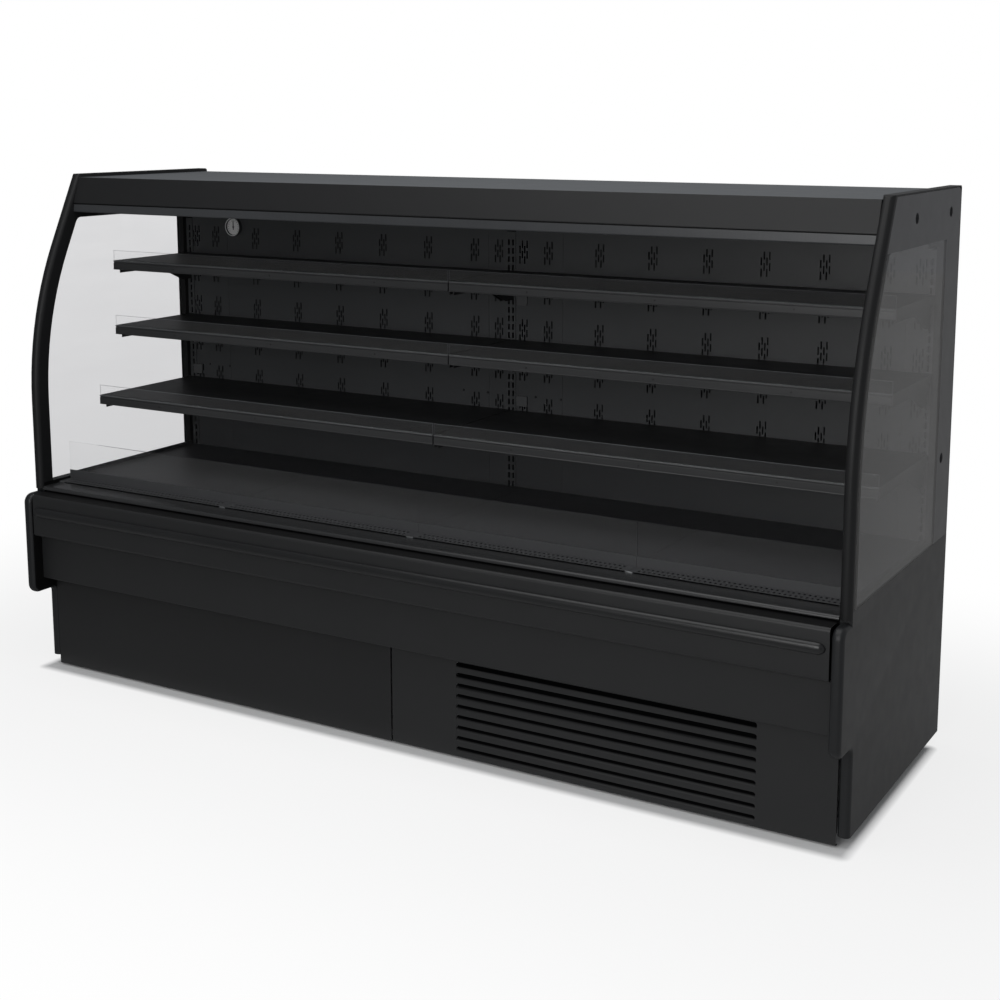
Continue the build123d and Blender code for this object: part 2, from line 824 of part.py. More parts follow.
louvre_middle = (louvre_start + louvre_end) / 2
louvre_length = louvre_end - louvre_start
with BuildPart() as kick_panel_right:
    folded(kick_profile, thin_sheet, (kick_split + kick_split_gap / 2, kick_half))
    with BuildSketch(Plane.XZ.offset(-y_at(kick_depth - thin_sheet))):
        for row in range(louvre_count):
            foot = louvre_bottom + row * louvre_pitch
            with Locations((louvre_middle, foot + louvre_height / 2)):
                SlotOverall(louvre_length, louvre_height)
            with Locations((louvre_middle, foot + louvre_height / 4)):
                Rectangle(louvre_length, louvre_height / 2)
    extrude(amount=thin_sheet, mode=Mode.SUBTRACT)
    with BuildSketch(Plane.YZ.offset(louvre_start)):
        for row in range(louvre_count):
            foot = louvre_bottom + row * louvre_pitch
            outline([
                (kick_depth - thin_sheet, foot), (kick_depth - louvre_blade_depth, foot + louvre_height),
                (kick_depth - louvre_blade_depth, foot + louvre_height - louvre_blade_thickness),
                (kick_depth - thin_sheet, foot - louvre_blade_thickness),
            ])
    extrude(amount=louvre_length)
save(kick_panel_right, "kick_panel_right")

# ---- Shelves -------------------------------------------------------------------
shelf_rear_depth = upright_face_depth + shelf_rear_gap
bracket_clear = bracket_thickness / 2 + 2 * slip
clear_of_brackets = (upright_slot_offset + bracket_clear, end_slot - bracket_clear)
for row, height in shelf_heights.items():
    front_depth = shelf_front_depths[row]
    pan_front = front_depth - ticket_rail_depth
    rail_top = height - ticket_rail_drop
    for name, side in (("left", -1), ("right", 1)):
        ends = sorted((side * shelf_middle_gap, side * (inner_half - shelf_end_gap)))
        clear = sorted(side * x for x in clear_of_brackets)
        with BuildPart() as shelf:
            block(ends, across(shelf_rear_depth, pan_front), (height - thick_sheet, height))
            block(ends, across(pan_front - thick_sheet, pan_front), (height - shelf_flange, height))
            rear_flange = across(shelf_rear_depth, shelf_rear_depth + thick_sheet)
            block(clear, rear_flange, (height - shelf_flange, height))
            for wall in ((ends[0], ends[0] + thick_sheet), (ends[1] - thick_sheet, ends[1])):
                block(wall, across(shelf_rear_depth, pan_front), (height - shelf_flange, height))
        save(shelf, f"{row}_{name}_shelf")
        with BuildPart() as ticket_rail:
            block(ends, across(pan_front, front_depth), (rail_top - ticket_rail_height, rail_top))
            block(
                ends,
                across(front_depth - ticket_rail_recess, front_depth),
                (rail_top - ticket_rail_height + ticket_rail_lip, rail_top - ticket_rail_lip),
                mode=Mode.SUBTRACT,
            )
        save(ticket_rail, f"{row}_{name}_ticket_rail")
        with BuildPart() as riser:
            riser_front = front_depth - riser_inset
            riser_depths = across(riser_front - riser_thickness, riser_front)
            block(ends, riser_depths, (rail_top, rail_top + riser_height))
        save(riser, f"{row}_{name}_riser")

with BuildPart() as shelf_brackets:
    for row, height in shelf_heights.items():
        top = height - thick_sheet - slip
        tip = shelf_front_depths[row] - bracket_front_gap
        for x in (-end_slot, -upright_slot_offset, upright_slot_offset, end_slot):
            with BuildSketch(Plane.YZ.offset(x - bracket_thickness / 2)):
                outline([
                    (upright_face_depth, top), (tip, top), (tip, height - bracket_height),
                    (bracket_taper_start, height - bracket_height),
                    (bracket_taper_end, height - bracket_root_height),
                    (upright_face_depth, height - bracket_root_height),
                ])
            extrude(amount=bracket_thickness)
save(shelf_brackets, "shelf_brackets")

# ---- Thermometer, socket covers, screws ------------------------------------------
dial_floor = back_face_depth + dial_thickness - dial_recess
needle_rear = dial_floor + slip
with BuildPart(Plane.XZ.offset(-y_at(back_face_depth))) as thermometer_case:
    with Locations((dial_place[0], dial_place[1], 0)):
        Cylinder(dial_radius, dial_thickness, align=(Align.CENTER, Align.CENTER, Align.MIN))
        with Locations((0, 0, dial_thickness - dial_recess)):
            Cylinder(
                dial_radius - dial_rim, dial_recess,
                align=(Align.CENTER, Align.CENTER, Align.MIN), mode=Mode.SUBTRACT,
            )
            pin_length = needle_thickness + 2 * slip
            Cylinder(needle_pin_radius, pin_length, align=(Align.CENTER, Align.CENTER, Align.MIN))
save(thermometer_case, "thermometer_case")

with BuildPart() as thermometer_needle:
    with BuildSketch(Plane.XZ.offset(-y_at(needle_rear))):
        with Locations(dial_place):
            with Locations((0, (needle_length - needle_tail) / 2)):
                Rectangle(needle_width, needle_length + needle_tail)
            Circle(needle_hub_radius)
            Circle(needle_pin_radius + shaft_play, mode=Mode.SUBTRACT)
    extrude(amount=needle_thickness)
save(thermometer_needle, "thermometer_needle")

with BuildPart() as socket_covers:
    for x, height, on_upright in socket_covers_places:
        seat = upright_face_depth if on_upright else back_face_depth
        with BuildSketch(Plane.XZ.offset(-y_at(seat))):
            with Locations((x, height)):
                RectangleRounded(socket_cover_width, socket_cover_height, socket_cover_radius)
        extrude(amount=socket_cover_thickness)
save(socket_covers, "socket_covers")

with BuildPart() as panel_screws:
    for module in range(module_count):
        start = -inner_half + module * module_length
        with BuildSketch(Plane.XZ.offset(-y_at(back_face_depth))):
            for seam in panel_seams:
                for offset in panel_screw_offsets:
                    with Locations((start + seam + offset, panel_screw_height)):
                        Circle(screw_head_radius - slip)
        extrude(amount=screw_head_height)
save(panel_screws, "panel_screws")


# ---- Fans ------------------------------------------------------------------------
on_base = (Align.CENTER, Align.CENTER, Align.MIN)


def fan_wheel(radius):
    """A wheel with a bored hub and pitched blades; local Z is its axle."""
    blade_reach = radius - fan_hub_radius
    Cylinder(fan_hub_radius, fan_hub_length, align=on_base)
    with Locations((0, 0, fan_hub_length / 2)):
        with PolarLocations(fan_hub_radius + blade_reach / 2 - 1, fan_blade_count):
            Box(blade_reach, fan_blade_thickness, fan_blade_chord, rotation=(90 - fan_blade_pitch, 0, 0))
    Cylinder(fan_pin_radius + shaft_play, fan_hub_length, align=on_base, mode=Mode.SUBTRACT)


def fan_mount(radius, plane, ring_length):
    """The ring round a fan, with its motor boss and pin on three arms, at the fan's plane."""
    ring = radius + fan_tip_gap
    behind = fan_hub_gap + fan_boss_length
    with Locations(plane.offset(-behind)):
        Cylinder(ring + fan_ring_wall, ring_length, align=on_base)
        Cylinder(ring, ring_length, align=on_base, mode=Mode.SUBTRACT)
        Cylinder(fan_boss_radius, fan_boss_length, align=on_base)
        Cylinder(fan_pin_radius, behind + fan_hub_length - slip, align=on_base)
        with PolarLocations((ring + fan_boss_radius) / 2, 3, start_angle=90):
            Box(ring - fan_boss_radius + 4, fan_arm_width, fan_arm_thickness, align=on_base)


def fan_plane(x, depth, height):
    """The plane of a fan whose axle points forward."""
    return Plane((x, y_at(depth), height), x_dir=(1, 0, 0), z_dir=(0, -1, 0))


evaporator_fan_planes = {}
for name, x in fan_places.items():
    evaporator_fan_planes[name] = fan_plane(x, fan_plate_depth - fan_setback, fan_height)
    with BuildPart(evaporator_fan_planes[name]) as evaporator_fan:
        fan_wheel(evaporator_fan_radius)
    save(evaporator_fan, f"evaporator_fan_{name}")

with BuildPart() as fan_plate:
    block(
        (-inner_half + fan_plate_end_gap, inner_half - fan_plate_end_gap),
        across(fan_plate_depth - thick_sheet, fan_plate_depth),
        (tub_floor, tub_floor + fan_plate_height),
    )
    for plane in evaporator_fan_planes.values():
        fan_mount(evaporator_fan_radius, plane, fan_ring_length)
save(fan_plate, "fan_plate")


# ---- Coils -------------------------------------------------------------------------
def finned_coil(x_range, depths, heights, pitch, thickness, reach):
    """A heat exchanger: a core with plate fins that stand out of it all round."""
    core_depths = (depths[0] + reach, depths[1] - reach)
    core_heights = (heights[0] + reach, heights[1] - reach)
    block(x_range, across(*core_depths), core_heights)
    count = int((x_range[1] - x_range[0] - thickness) / pitch) + 1
    middle = (sum(x_range) / 2, y_at(sum(depths) / 2), sum(heights) / 2)
    with Locations(middle):
        with GridLocations(pitch, 0, count, 1):
            Box(thickness, depths[1] - depths[0], heights[1] - heights[0])


with BuildPart() as evaporator_coil:
    finned_coil(
        (-inner_half + coil_end_gaps[0], inner_half - coil_end_gaps[1]),
        (coil_rear_depth, coil_front_depth), (tub_floor, tub_floor + coil_height),
        fin_pitch, fin_thickness, fin_reach,
    )
save(evaporator_coil, "evaporator_coil")

condenser_front = tub_front_depth - condenser_setback
condenser_depths = (condenser_front - condenser_thickness, condenser_front)
with BuildPart() as condenser_coil:
    finned_coil(
        condenser_span, condenser_depths, (tray_top, tray_top + condenser_height),
        condenser_fin_pitch, condenser_fin_thickness, condenser_fin_reach,
    )
save(condenser_coil, "condenser_coil")

# ---- Condensing unit -----------------------------------------------------------------
condenser_fan_depth = condenser_depths[0] - fan_hub_length - 2 * condenser_plate
condenser_fan_plane = fan_plane(
    sum(condenser_span) / 2, condenser_fan_depth, tray_top + condenser_fan_lift
)
with BuildPart(condenser_fan_plane) as condenser_fan:
    fan_wheel(condenser_fan_radius)
save(condenser_fan, "condenser_fan")

with BuildPart() as condenser_shroud:
    block(
        condenser_span,
        across(condenser_depths[0] - condenser_plate, condenser_depths[0]),
        (tray_top, tray_top + condenser_height),
    )
    shroud_length = condenser_depths[0] - condenser_fan_depth + fan_hub_gap + fan_boss_length
    fan_mount(condenser_fan_radius, condenser_fan_plane, shroud_length)
save(condenser_shroud, "condenser_shroud")

compressor_foot = tray_top + compressor_base[2]
with BuildPart() as compressor:
    with Locations((compressor_place[0], y_at(compressor_place[1]), compressor_foot)):
        Cylinder(compressor_radius, compressor_height, align=on_base)
    fillet(compressor.edges().filter_by(GeomType.CIRCLE), radius=compressor_dome)
    with Locations((compressor_place[0], y_at(compressor_place[1]), tray_top)):
        Box(*compressor_base, align=on_base)
        Cylinder(compressor_radius / 2, compressor_dome, align=on_base)
        with Locations((-compressor_radius, 0, compressor_height / 2)):
            Box(*compressor_lug, align=on_base)
save(compressor, "compressor")

# ---- Electrical box and mains inlet ------------------------------------------------------
box_heights = (tray_top, tray_top + box_height)
with BuildPart() as electrical_box:
    block((box_start, box_start + box_length), across(*box_depths), box_heights)
    fillet(electrical_box.edges().filter_by(Axis.Z), radius=box_corner_radius)
save(electrical_box, "electrical_box")

inlet_x = box_start + box_length / 2
inlet_z = tray_top + box_height / 2
inlet_depths = (box_depths[0] - inlet_length, box_depths[0])
with BuildPart() as power_inlet:
    block(
        (inlet_x - inlet_width / 2, inlet_x + inlet_width / 2),
        across(*inlet_depths),
        (inlet_z - inlet_height / 2, inlet_z + inlet_height / 2),
    )
    block(
        (inlet_x - inlet_width / 2 + inlet_wall, inlet_x + inlet_width / 2 - inlet_wall),
        across(inlet_depths[0], inlet_depths[1] - inlet_wall),
        (inlet_z - inlet_height / 2 + inlet_wall, inlet_z + inlet_height / 2 - inlet_wall),
        mode=Mode.SUBTRACT,
    )
    for place in (-1, 0, 1):
        x = inlet_x + place * inlet_pin_pitch
        z = inlet_z + (inlet_wall if place == 0 else 0)
        block(
            (x - inlet_pin_width / 2, x + inlet_pin_width / 2),
            across(inlet_depths[0] + inlet_wall, inlet_depths[1] - inlet_wall),
            (z - inlet_pin_height / 2, z + inlet_pin_height / 2),
        )
save(power_inlet, "power_inlet")
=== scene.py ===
# %% [markdown]
# # An open display fridge, dressed for a picture
# The fridge is already built as solid parts with real sizes. Those parts are the frame: this
# script lays finishes and fine detail over them and never moves them. Every piece is in metres,
# with X along the cabinet, -Y towards the open front and Z up.

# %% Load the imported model
import json
import math

import bmesh
import bpy
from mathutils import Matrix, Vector


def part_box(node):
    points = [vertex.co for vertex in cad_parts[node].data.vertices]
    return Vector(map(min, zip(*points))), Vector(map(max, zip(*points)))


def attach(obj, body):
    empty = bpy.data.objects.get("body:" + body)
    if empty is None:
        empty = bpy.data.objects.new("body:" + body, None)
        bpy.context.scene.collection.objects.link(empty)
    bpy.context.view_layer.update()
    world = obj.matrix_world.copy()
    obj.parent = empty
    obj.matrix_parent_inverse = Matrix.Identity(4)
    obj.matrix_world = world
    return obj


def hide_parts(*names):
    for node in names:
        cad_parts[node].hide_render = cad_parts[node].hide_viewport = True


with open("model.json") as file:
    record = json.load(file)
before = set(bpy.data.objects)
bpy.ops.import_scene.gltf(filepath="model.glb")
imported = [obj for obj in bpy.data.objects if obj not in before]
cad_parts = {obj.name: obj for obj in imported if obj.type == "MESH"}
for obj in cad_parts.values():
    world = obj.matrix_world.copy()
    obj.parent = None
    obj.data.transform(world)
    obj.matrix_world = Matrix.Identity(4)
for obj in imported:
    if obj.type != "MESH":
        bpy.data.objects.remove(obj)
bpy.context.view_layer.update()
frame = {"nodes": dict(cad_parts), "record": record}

record = frame["record"]
body_of = {node: body for body, nodes in record["behaviour"]["bodies"].items() for node in nodes}
slot_of = {part["node"]: part["material_slot"] for part in record["subparts"]}

# %% [markdown]
# ## Camera
# The camera stands where the photographer stood: a little above the roof, to the right of the
# cabinet, looking slightly down. A small shift frames the cabinet without tilting the view.

# %% Place the camera
scene = bpy.context.scene
camera_data = bpy.data.cameras.new("camera")
camera_data.lens = 56.725
camera_data.sensor_width = 36
camera_data.shift_x = -0.01671
camera_data.shift_y = -0.12721
camera = bpy.data.objects.new("camera", camera_data)
camera.location = (2.32776, -3.68537, 1.69311)
camera.rotation_euler = (math.radians(80.64), 0, math.radians(30))
scene.collection.objects.link(camera)
scene.camera = camera
scene.view_settings.view_transform = "Standard"
print("camera at", tuple(round(v, 2) for v in camera.location))

# %% [markdown]
# ## A first helper for node trees
# Materials, the world and the repeated pieces are all node trees, so one helper adds a node, sets
# its fields and fills its inputs. A value is either a number, which is set on the socket itself, or
# the output of another node, which is linked. A Number is such an output that takes sums: each
# + - * / adds a Math node.

# %% Helpers: add a node, work out a number
def feed(tree, node, **inputs):
    """Fill the inputs of a node by name or number, and hand the node back."""
    for key, value in inputs.items():
        name = key.replace("_", " ")
        by_number = name[0] == "i" and name[1:].isdigit()
        socket = node.inputs[int(name[1:]) if by_number else name]
        value = value.socket if isinstance(value, Number) else value
        if isinstance(value, bpy.types.NodeSocket):
            tree.links.new(value, socket)
        else:
            socket.default_value = value
    return node


def wire(tree, kind, settings=None, **inputs):
    """Add a node, set its fields, and fill its inputs."""
    node = tree.nodes.new(kind)
    for field, value in (settings or {}).items():
        setattr(node, field, value)
    return feed(tree, node, **inputs)


def calc(tree, operation, first, second=0.0, third=0.0):
    """One sum on numbers."""
    node = wire(tree, "ShaderNodeMath", {"operation": operation}, i0=first, i1=second, i2=third)
    return Number(tree, node.outputs[0])


class Number:
    """A node's output that takes sums."""

    def __init__(self, tree, socket):
        self.tree, self.socket = tree, socket

    def __add__(self, other):
        return calc(self.tree, "ADD", self, other)

    def __sub__(self, other):
        return calc(self.tree, "SUBTRACT", self, other)

    def __rsub__(self, other):
        return calc(self.tree, "SUBTRACT", other, self)

    def __mul__(self, other):
        return calc(self.tree, "MULTIPLY", self, other)

    def __truediv__(self, other):
        return calc(self.tree, "DIVIDE", self, other)


def remap(tree, value, source, target, smooth=False):
    """A value taken from one range to another, and held at its ends."""
    curve = {"interpolation_type": "SMOOTHSTEP"} if smooth else None
    return Number(tree, wire(
        tree, "ShaderNodeMapRange", curve, Value=value,
        From_Min=source[0], From_Max=source[1], To_Min=target[0], To_Max=target[1],
    ).outputs[0])


print("node helpers ready")

# %% [markdown]
# ## Light and background
# The cabinet stands in a plain white room. What the camera sees of the room, directly or through
# glass, is pure white. Mirrored in glass and coats it is a mid grey, brighter towards the right and
# the rear and dim behind the camera, which keeps black profiles black and still draws their edges.
# Three large lamps give soft, level light.

# %% World
world = bpy.data.worlds.new("white_room")
scene.world = world
world.use_nodes = True
sky = world.node_tree
sky.nodes.clear()
ROOM_LIGHT = 0.33        # how bright the room is as a lamp
MIRROR = (0.09, 0.31)    # how bright it is in reflections: in front, and to the right and rear


def mirror_strength(tree, position, reach):
    """Brighter towards the right and the rear, for what gloss and glass reflect."""
    side = wire(tree, "ShaderNodeVectorMath", {"operation": "DOT_PRODUCT"}, i0=position, i1=(0.55, 0.83, 0.0))
    return remap(tree, side.outputs["Value"], (-0.7 * reach, 0.7 * reach), MIRROR, smooth=True)


def seen_directly(tree):
    """1 for camera rays, also through glass, and 1 for mirrored rays. A ray off a painted face isn't seen."""
    rays = wire(tree, "ShaderNodeLightPath").outputs
    turned = calc(tree, "ADD", rays["Diffuse Depth"], rays["Glossy Depth"])
    through = calc(tree, "LESS_THAN", turned, 0.5) * rays["Is Transmission Ray"]
    return calc(tree, "MAXIMUM", rays["Is Camera Ray"], through), rays["Is Glossy Ray"]


direction = wire(sky, "ShaderNodeTexCoord")
seen, glossy = seen_directly(sky)
lighting = wire(sky, "ShaderNodeBackground", Color=(0.96, 0.98, 1.0, 1), Strength=ROOM_LIGHT)
mirrored = wire(
    sky, "ShaderNodeBackground", Color=(0.96, 0.97, 1.0, 1),
    Strength=mirror_strength(sky, direction.outputs["Generated"], 1.0),
)
white = wire(sky, "ShaderNodeBackground", Color=(1, 1, 1, 1), Strength=1.0)
lit = wire(sky, "ShaderNodeMixShader", Fac=glossy, i1=lighting.outputs[0], i2=mirrored.outputs[0])
room = wire(sky, "ShaderNodeMixShader", Fac=seen, i1=lit.outputs[0], i2=white.outputs[0])
wire(sky, "ShaderNodeOutputWorld", Surface=room.outputs[0])
print("world nodes:", len(sky.nodes))

# %% Lamps
# name, place, what it looks at, size, power
LAMPS = [
    ("ceiling", (0.0, -0.8, 3.8), (0, 0, 0.8), 3.2, 46),
    ("front", (0.6, -4.6, 2.2), (0.3, 0.3, 1.0), 2.2, 52),
    ("low_front", (0.9, -4.6, 0.9), (0.3, 0.3, 0.8), 1.6, 14),
]
for name, place, target, size, power in LAMPS:
    lamp = bpy.data.lights.new(name, "AREA")
    lamp.shape = "SQUARE"
    lamp.size = size
    lamp.energy = power
    holder = bpy.data.objects.new(name, lamp)
    holder.location = place
    holder.rotation_euler = (Vector(target) - Vector(place)).to_track_quat("-Z", "Y").to_euler()
    scene.collection.objects.link(holder)
print("lamps:", [lamp[0] for lamp in LAMPS])

# %% [markdown]
# ## Floor
# The floor is a pale disc. Under the cabinet it is ordinary paint, which takes the shadow, so no
# light shows through the louvres. Further out it turns to the white of the room, so no horizon shows.

# %% Floor
FLOOR_RADIUS = 14.0
SHADED_FLOOR = (1.27, 0.36, 0.0)   # half the length and depth of the floor that stays paint
outline = bmesh.new()
bmesh.ops.create_circle(outline, cap_ends=True, segments=96, radius=FLOOR_RADIUS)
floor_mesh = bpy.data.meshes.new("floor")
outline.to_mesh(floor_mesh)
outline.free()
floor = bpy.data.objects.new("floor", floor_mesh)
scene.collection.objects.link(floor)
floor_paint = bpy.data.materials.new("floor_paint")
floor_paint.use_nodes = True
tree = floor_paint.node_tree
tree.nodes.clear()
place = wire(tree, "ShaderNodeTexCoord").outputs["Object"]
ahead = place
for operation, amount in (("ABSOLUTE", None), ("SUBTRACT", SHADED_FLOOR), ("MAXIMUM", (0.0, 0.0, 0.0))):
    more = {"i1": amount} if amount else {}
    ahead = wire(tree, "ShaderNodeVectorMath", {"operation": operation}, i0=ahead, **more).outputs[0]
reach = wire(tree, "ShaderNodeVectorMath", {"operation": "LENGTH"}, i0=ahead).outputs["Value"]
edge = remap(tree, reach, (0.0, 0.03), (0.0, 0.80))
fade = remap(tree, reach, (0.2, 1.6), (0.0, 0.20), smooth=True)
seen, glossy = seen_directly(tree)
amount = (edge + fade) * calc(tree, "MAXIMUM", seen, glossy)
bright = calc(tree, "MAXIMUM", seen, mirror_strength(tree, place, 3.0))
paint = wire(tree, "ShaderNodeBsdfDiffuse", Color=(0.9, 0.9, 0.9, 1))
glow = wire(tree, "ShaderNodeEmission", Color=(1, 1, 1, 1), Strength=bright)
both = wire(tree, "ShaderNodeMixShader", Fac=amount, i1=paint.outputs[0], i2=glow.outputs[0])
wire(tree, "ShaderNodeOutputMaterial", Surface=both.outputs[0])
floor_mesh.materials.append(floor_paint)
print("floor radius:", FLOOR_RADIUS)

# %% [markdown]
# ## Finishes
# Nearly everything on this fridge is powder-coated sheet. Powder coat isn't flat: it has a fine
# orange-peel skin, and its colour and gloss drift a little from place to place. One function makes
# that skin from three noise patterns, and each finish is a call with its own numbers. The patterns
# read Object coordinates, so they sit still on the part.

# %% Helper: start a material
finishes = {}


def start_material(name):
    """A new finish: its tree, its shader, and the object's own coordinates."""
    material = bpy.data.materials.new(name)
    finishes[name] = material
    material.use_nodes = True
    tree = material.node_tree
    tree.nodes.clear()
    shader = wire(tree, "ShaderNodeBsdfPrincipled")
    wire(tree, "ShaderNodeOutputMaterial", Surface=shader.outputs[0])
    return tree, shader, wire(tree, "ShaderNodeTexCoord").outputs["Object"]


def stretched(tree, coords, scale):
    """The coordinates scaled by axis, so that a pattern runs long along one of them."""
    return wire(tree, "ShaderNodeMapping", Vector=coords, Scale=scale).outputs[0]


def noise(tree, coords, scale, detail, **more):
    """A cloudy pattern."""
    return wire(tree, "ShaderNodeTexNoise", Vector=coords, Scale=scale, Detail=detail, **more).outputs["Fac"]


def between(tree, value, low, high):
    """A pattern's value mapped to a range."""
    return remap(tree, value, (0.25, 0.75), (low, high))


def blend_colours(tree, factor, first, second):
    """One colour fading into another."""
    first, second = ((*colour, 1) if isinstance(colour, tuple) else colour for colour in (first, second))
    return wire(tree, "ShaderNodeMix", {"data_type": "RGBA"}, Factor=factor, i6=first, i7=second).outputs[2]


print("material helpers ready")

# %% Coated and moulded finishes
def skin(
    name, colour, roughness, drift=0.12, peel=520.0, peel_height=0.12, grain=(1, 1, 1), specular=0.5, metallic=0.0,
):
    """A coated, moulded or rolled surface: drifting colour and gloss over a fine bumpy skin."""
    tree, shader, coords = start_material(name)
    along_grain = stretched(tree, coords, grain)
    broad = noise(tree, coords, 2.3, 4.0, Roughness=0.6)
    fine = noise(tree, along_grain, peel, 2.0)
    middle = noise(tree, along_grain, 23.0, 5.0)
    darker, lighter, pit = (
        tuple(min(1, c * (1 + shift)) for c in colour) for shift in (-drift, drift, -2 * drift)
    )
    tone = blend_colours(tree, between(tree, broad, 0, 1), darker, lighter)
    bump = wire(tree, "ShaderNodeBump", Height=fine, Strength=peel_height, Distance=0.0004)
    feed(
        tree, shader, Base_Color=blend_colours(tree, between(tree, fine, 0, 0.5), tone, pit),
        Roughness=between(tree, middle, roughness - 0.025, roughness + 0.025), Normal=bump.outputs[0],
        Specular_IOR_Level=specular, Metallic=metallic,
    )


PROFILE = {"grain": (0.06, 1, 1), "peel": 260.0}     # an extruded profile: its grain runs along the cabinet
skin("charcoal_coat", (0.0150, 0.0155, 0.0163), 0.46, drift=0.08)
skin("charcoal_end", (0.0115, 0.0124, 0.0137), 0.42, drift=0.02, specular=0.44)
skin("roof_coat", (0.088, 0.096, 0.104), 0.50, drift=0.06)
skin("insulation_skin", (0.0125, 0.0128, 0.0134), 0.5, drift=0.08, specular=0.4)
skin("black_profile", (0.0085, 0.0086, 0.0092), 0.34, specular=0.42, **PROFILE)
skin("wall_coat", (0.056, 0.058, 0.061), 0.42, drift=0.08)
skin("nose_profile", (0.0300, 0.0306, 0.0318), 0.26, **PROFILE)
skin("bead_profile", (0.0140, 0.0144, 0.0152), 0.30, **PROFILE)
skin("rail_profile", (0.0330, 0.0336, 0.0348), 0.32, **PROFILE)
skin("deck_coat", (0.056, 0.057, 0.060), 0.44, drift=0.06)
# paler coat for the ticket rail's lip: a painted highlight
skin("rail_lip", (0.090, 0.092, 0.095), 0.28, **PROFILE)
skin("fascia_coat", (0.0120, 0.0123, 0.0130), 0.44, drift=0.06)
skin("post_coat", (0.0105, 0.0108, 0.0114), 0.50, drift=0.05, specular=0.3)
skin("rubber", (0.0080, 0.0081, 0.0086), 0.6, specular=0.25)
skin("glass_print", (0.0740, 0.0745, 0.0780), 0.32, drift=0.03, specular=0.21)
# near-black, used only as painted shade: on the end panels' inner sides and in a strip under the fascia
skin("seal_black", (0.0030, 0.0030, 0.0032), 0.6, specular=0.15)
skin("cover_plastic", (0.085, 0.087, 0.090), 0.45)
skin("dark_screw", (0.010, 0.010, 0.011), 0.35, peel=900.0)
skin("diffuser", (0.040, 0.042, 0.045), 0.34, grain=(1, 0.05, 0.05), peel=420.0, peel_height=0.4)
skin("lamp", (0.74, 0.74, 0.72), 0.4, drift=0.05)
skin("grey_plastic", (0.060, 0.063, 0.067), 0.5)
skin("dial", (0.80, 0.80, 0.80), 0.42, drift=0.03)
skin("needle", (0.05, 0.05, 0.055), 0.4)
skin("zinc", (0.42, 0.43, 0.44), 0.34, metallic=1.0, peel=900.0)
skin("foot_black", (0.02, 0.02, 0.02), 0.6, drift=0.25)
skin("fin_aluminium", (0.66, 0.67, 0.68), 0.32, metallic=1.0, grain=(1, 1, 0.05))
skin("fan_plastic", (0.022, 0.022, 0.024), 0.45)
skin("compressor_paint", (0.010, 0.010, 0.011), 0.22, peel=160.0)
skin("box_grey", (0.22, 0.23, 0.24), 0.5, peel=700.0, peel_height=0.3)
skin("inlet_black", (0.012, 0.012, 0.012), 0.4)
skin("honeycomb", (0.030, 0.030, 0.033), 0.5)
print("coated finishes:", len(finishes))

# %% Galvanised sheet, glass and clear sheet
def galvanised(name):
    """Hot-dip zinc: crystals of slightly different grey and gloss."""
    tree, shader, coords = start_material(name)
    crystals = wire(tree, "ShaderNodeTexVoronoi", Vector=coords, Scale=95.0)
    shade = wire(tree, "ShaderNodeSeparateColor", Color=crystals.outputs["Color"]).outputs
    tone = blend_colours(tree, shade[0], (0.30, 0.31, 0.32), (0.44, 0.45, 0.46))
    feed(tree, shader, Base_Color=tone, Roughness=between(tree, shade[1], 0.36, 0.5), Metallic=0.85)


def clear(name, tint, low_tint, roughness, mark_scale, ior, haze=0.0):
    """Clear sheet: faint wipe marks, maybe milky, and darker towards the floor as a painted shade."""
    tree, shader, coords = start_material(name)
    marks = noise(tree, stretched(tree, coords, (1, 0.3, 2.0)), mark_scale, 3.0)
    height = wire(tree, "ShaderNodeSeparateXYZ", Vector=coords).outputs["Z"]
    # darker towards the bottom: painted shade of the darker floor seen through the pane
    shade = blend_colours(tree, remap(tree, height, (0.6, 1.4), (0.0, 1.0)), low_tint, tint)
    smear = blend_colours(tree, between(tree, marks, 0, 0.4), shade, tuple(c * 0.97 for c in low_tint))
    feed(
        tree, shader, Base_Color=smear, Roughness=between(tree, marks, 0.0, roughness),
        Transmission_Weight=1.0 - haze, IOR=ior,
    )


galvanised("galvanised")
clear("end_glass", (0.745, 0.745, 0.755), (0.66, 0.66, 0.67), 0.03, 9.0, 1.24)
clear("riser_clear", (0.99, 0.99, 0.99), (0.99, 0.99, 0.99), 0.03, 14.0, 1.10, haze=0.013)
missing = sorted({slot_of[node] for node in slot_of} - set(finishes))
print("finishes:", len(finishes), "without a finish:", missing)

# %% [markdown]
# ## Dressing a part
# A CAD part comes as loose triangles with knife-sharp edges. Real sheet and plastic have small
# rounded edges, and those edges catch the light. So most pieces are a copy of the part: its
# triangles are merged into whole faces, and a small bevel goes round every sharp edge.

# %% Helper: dress a part
def merged_copy(name, nodes):
    """A mesh with the shape of CAD nodes, its loose triangles merged into whole faces."""
    shape = bmesh.new()
    for node in nodes:
        shape.from_mesh(frame["nodes"][node].data)
    bmesh.ops.remove_doubles(shape, verts=shape.verts, dist=1e-6)
    bmesh.ops.dissolve_limit(shape, angle_limit=math.radians(0.5), verts=shape.verts, edges=shape.edges)
    mesh = bpy.data.meshes.new(name)
    shape.to_mesh(mesh)
    shape.free()
    return mesh


def set_piece(name, mesh, body, slot, nodes=(), finish=None):
    """Put a finished mesh in the scene, give it its finish, hide the CAD nodes it stands for, and hang it on its
    body.
    """
    piece = bpy.data.objects.new(name, mesh)
    scene.collection.objects.link(piece)
    if not mesh.materials:
        mesh.materials.append(finish or finishes[slot])
    if nodes:
        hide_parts(*nodes)
    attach(piece, body)
    return piece


def stand_in(name, mesh, node):
    """Put in a mesh that takes the place of one CAD node."""
    return set_piece(name, mesh, body_of[node], slot_of[node], [node])


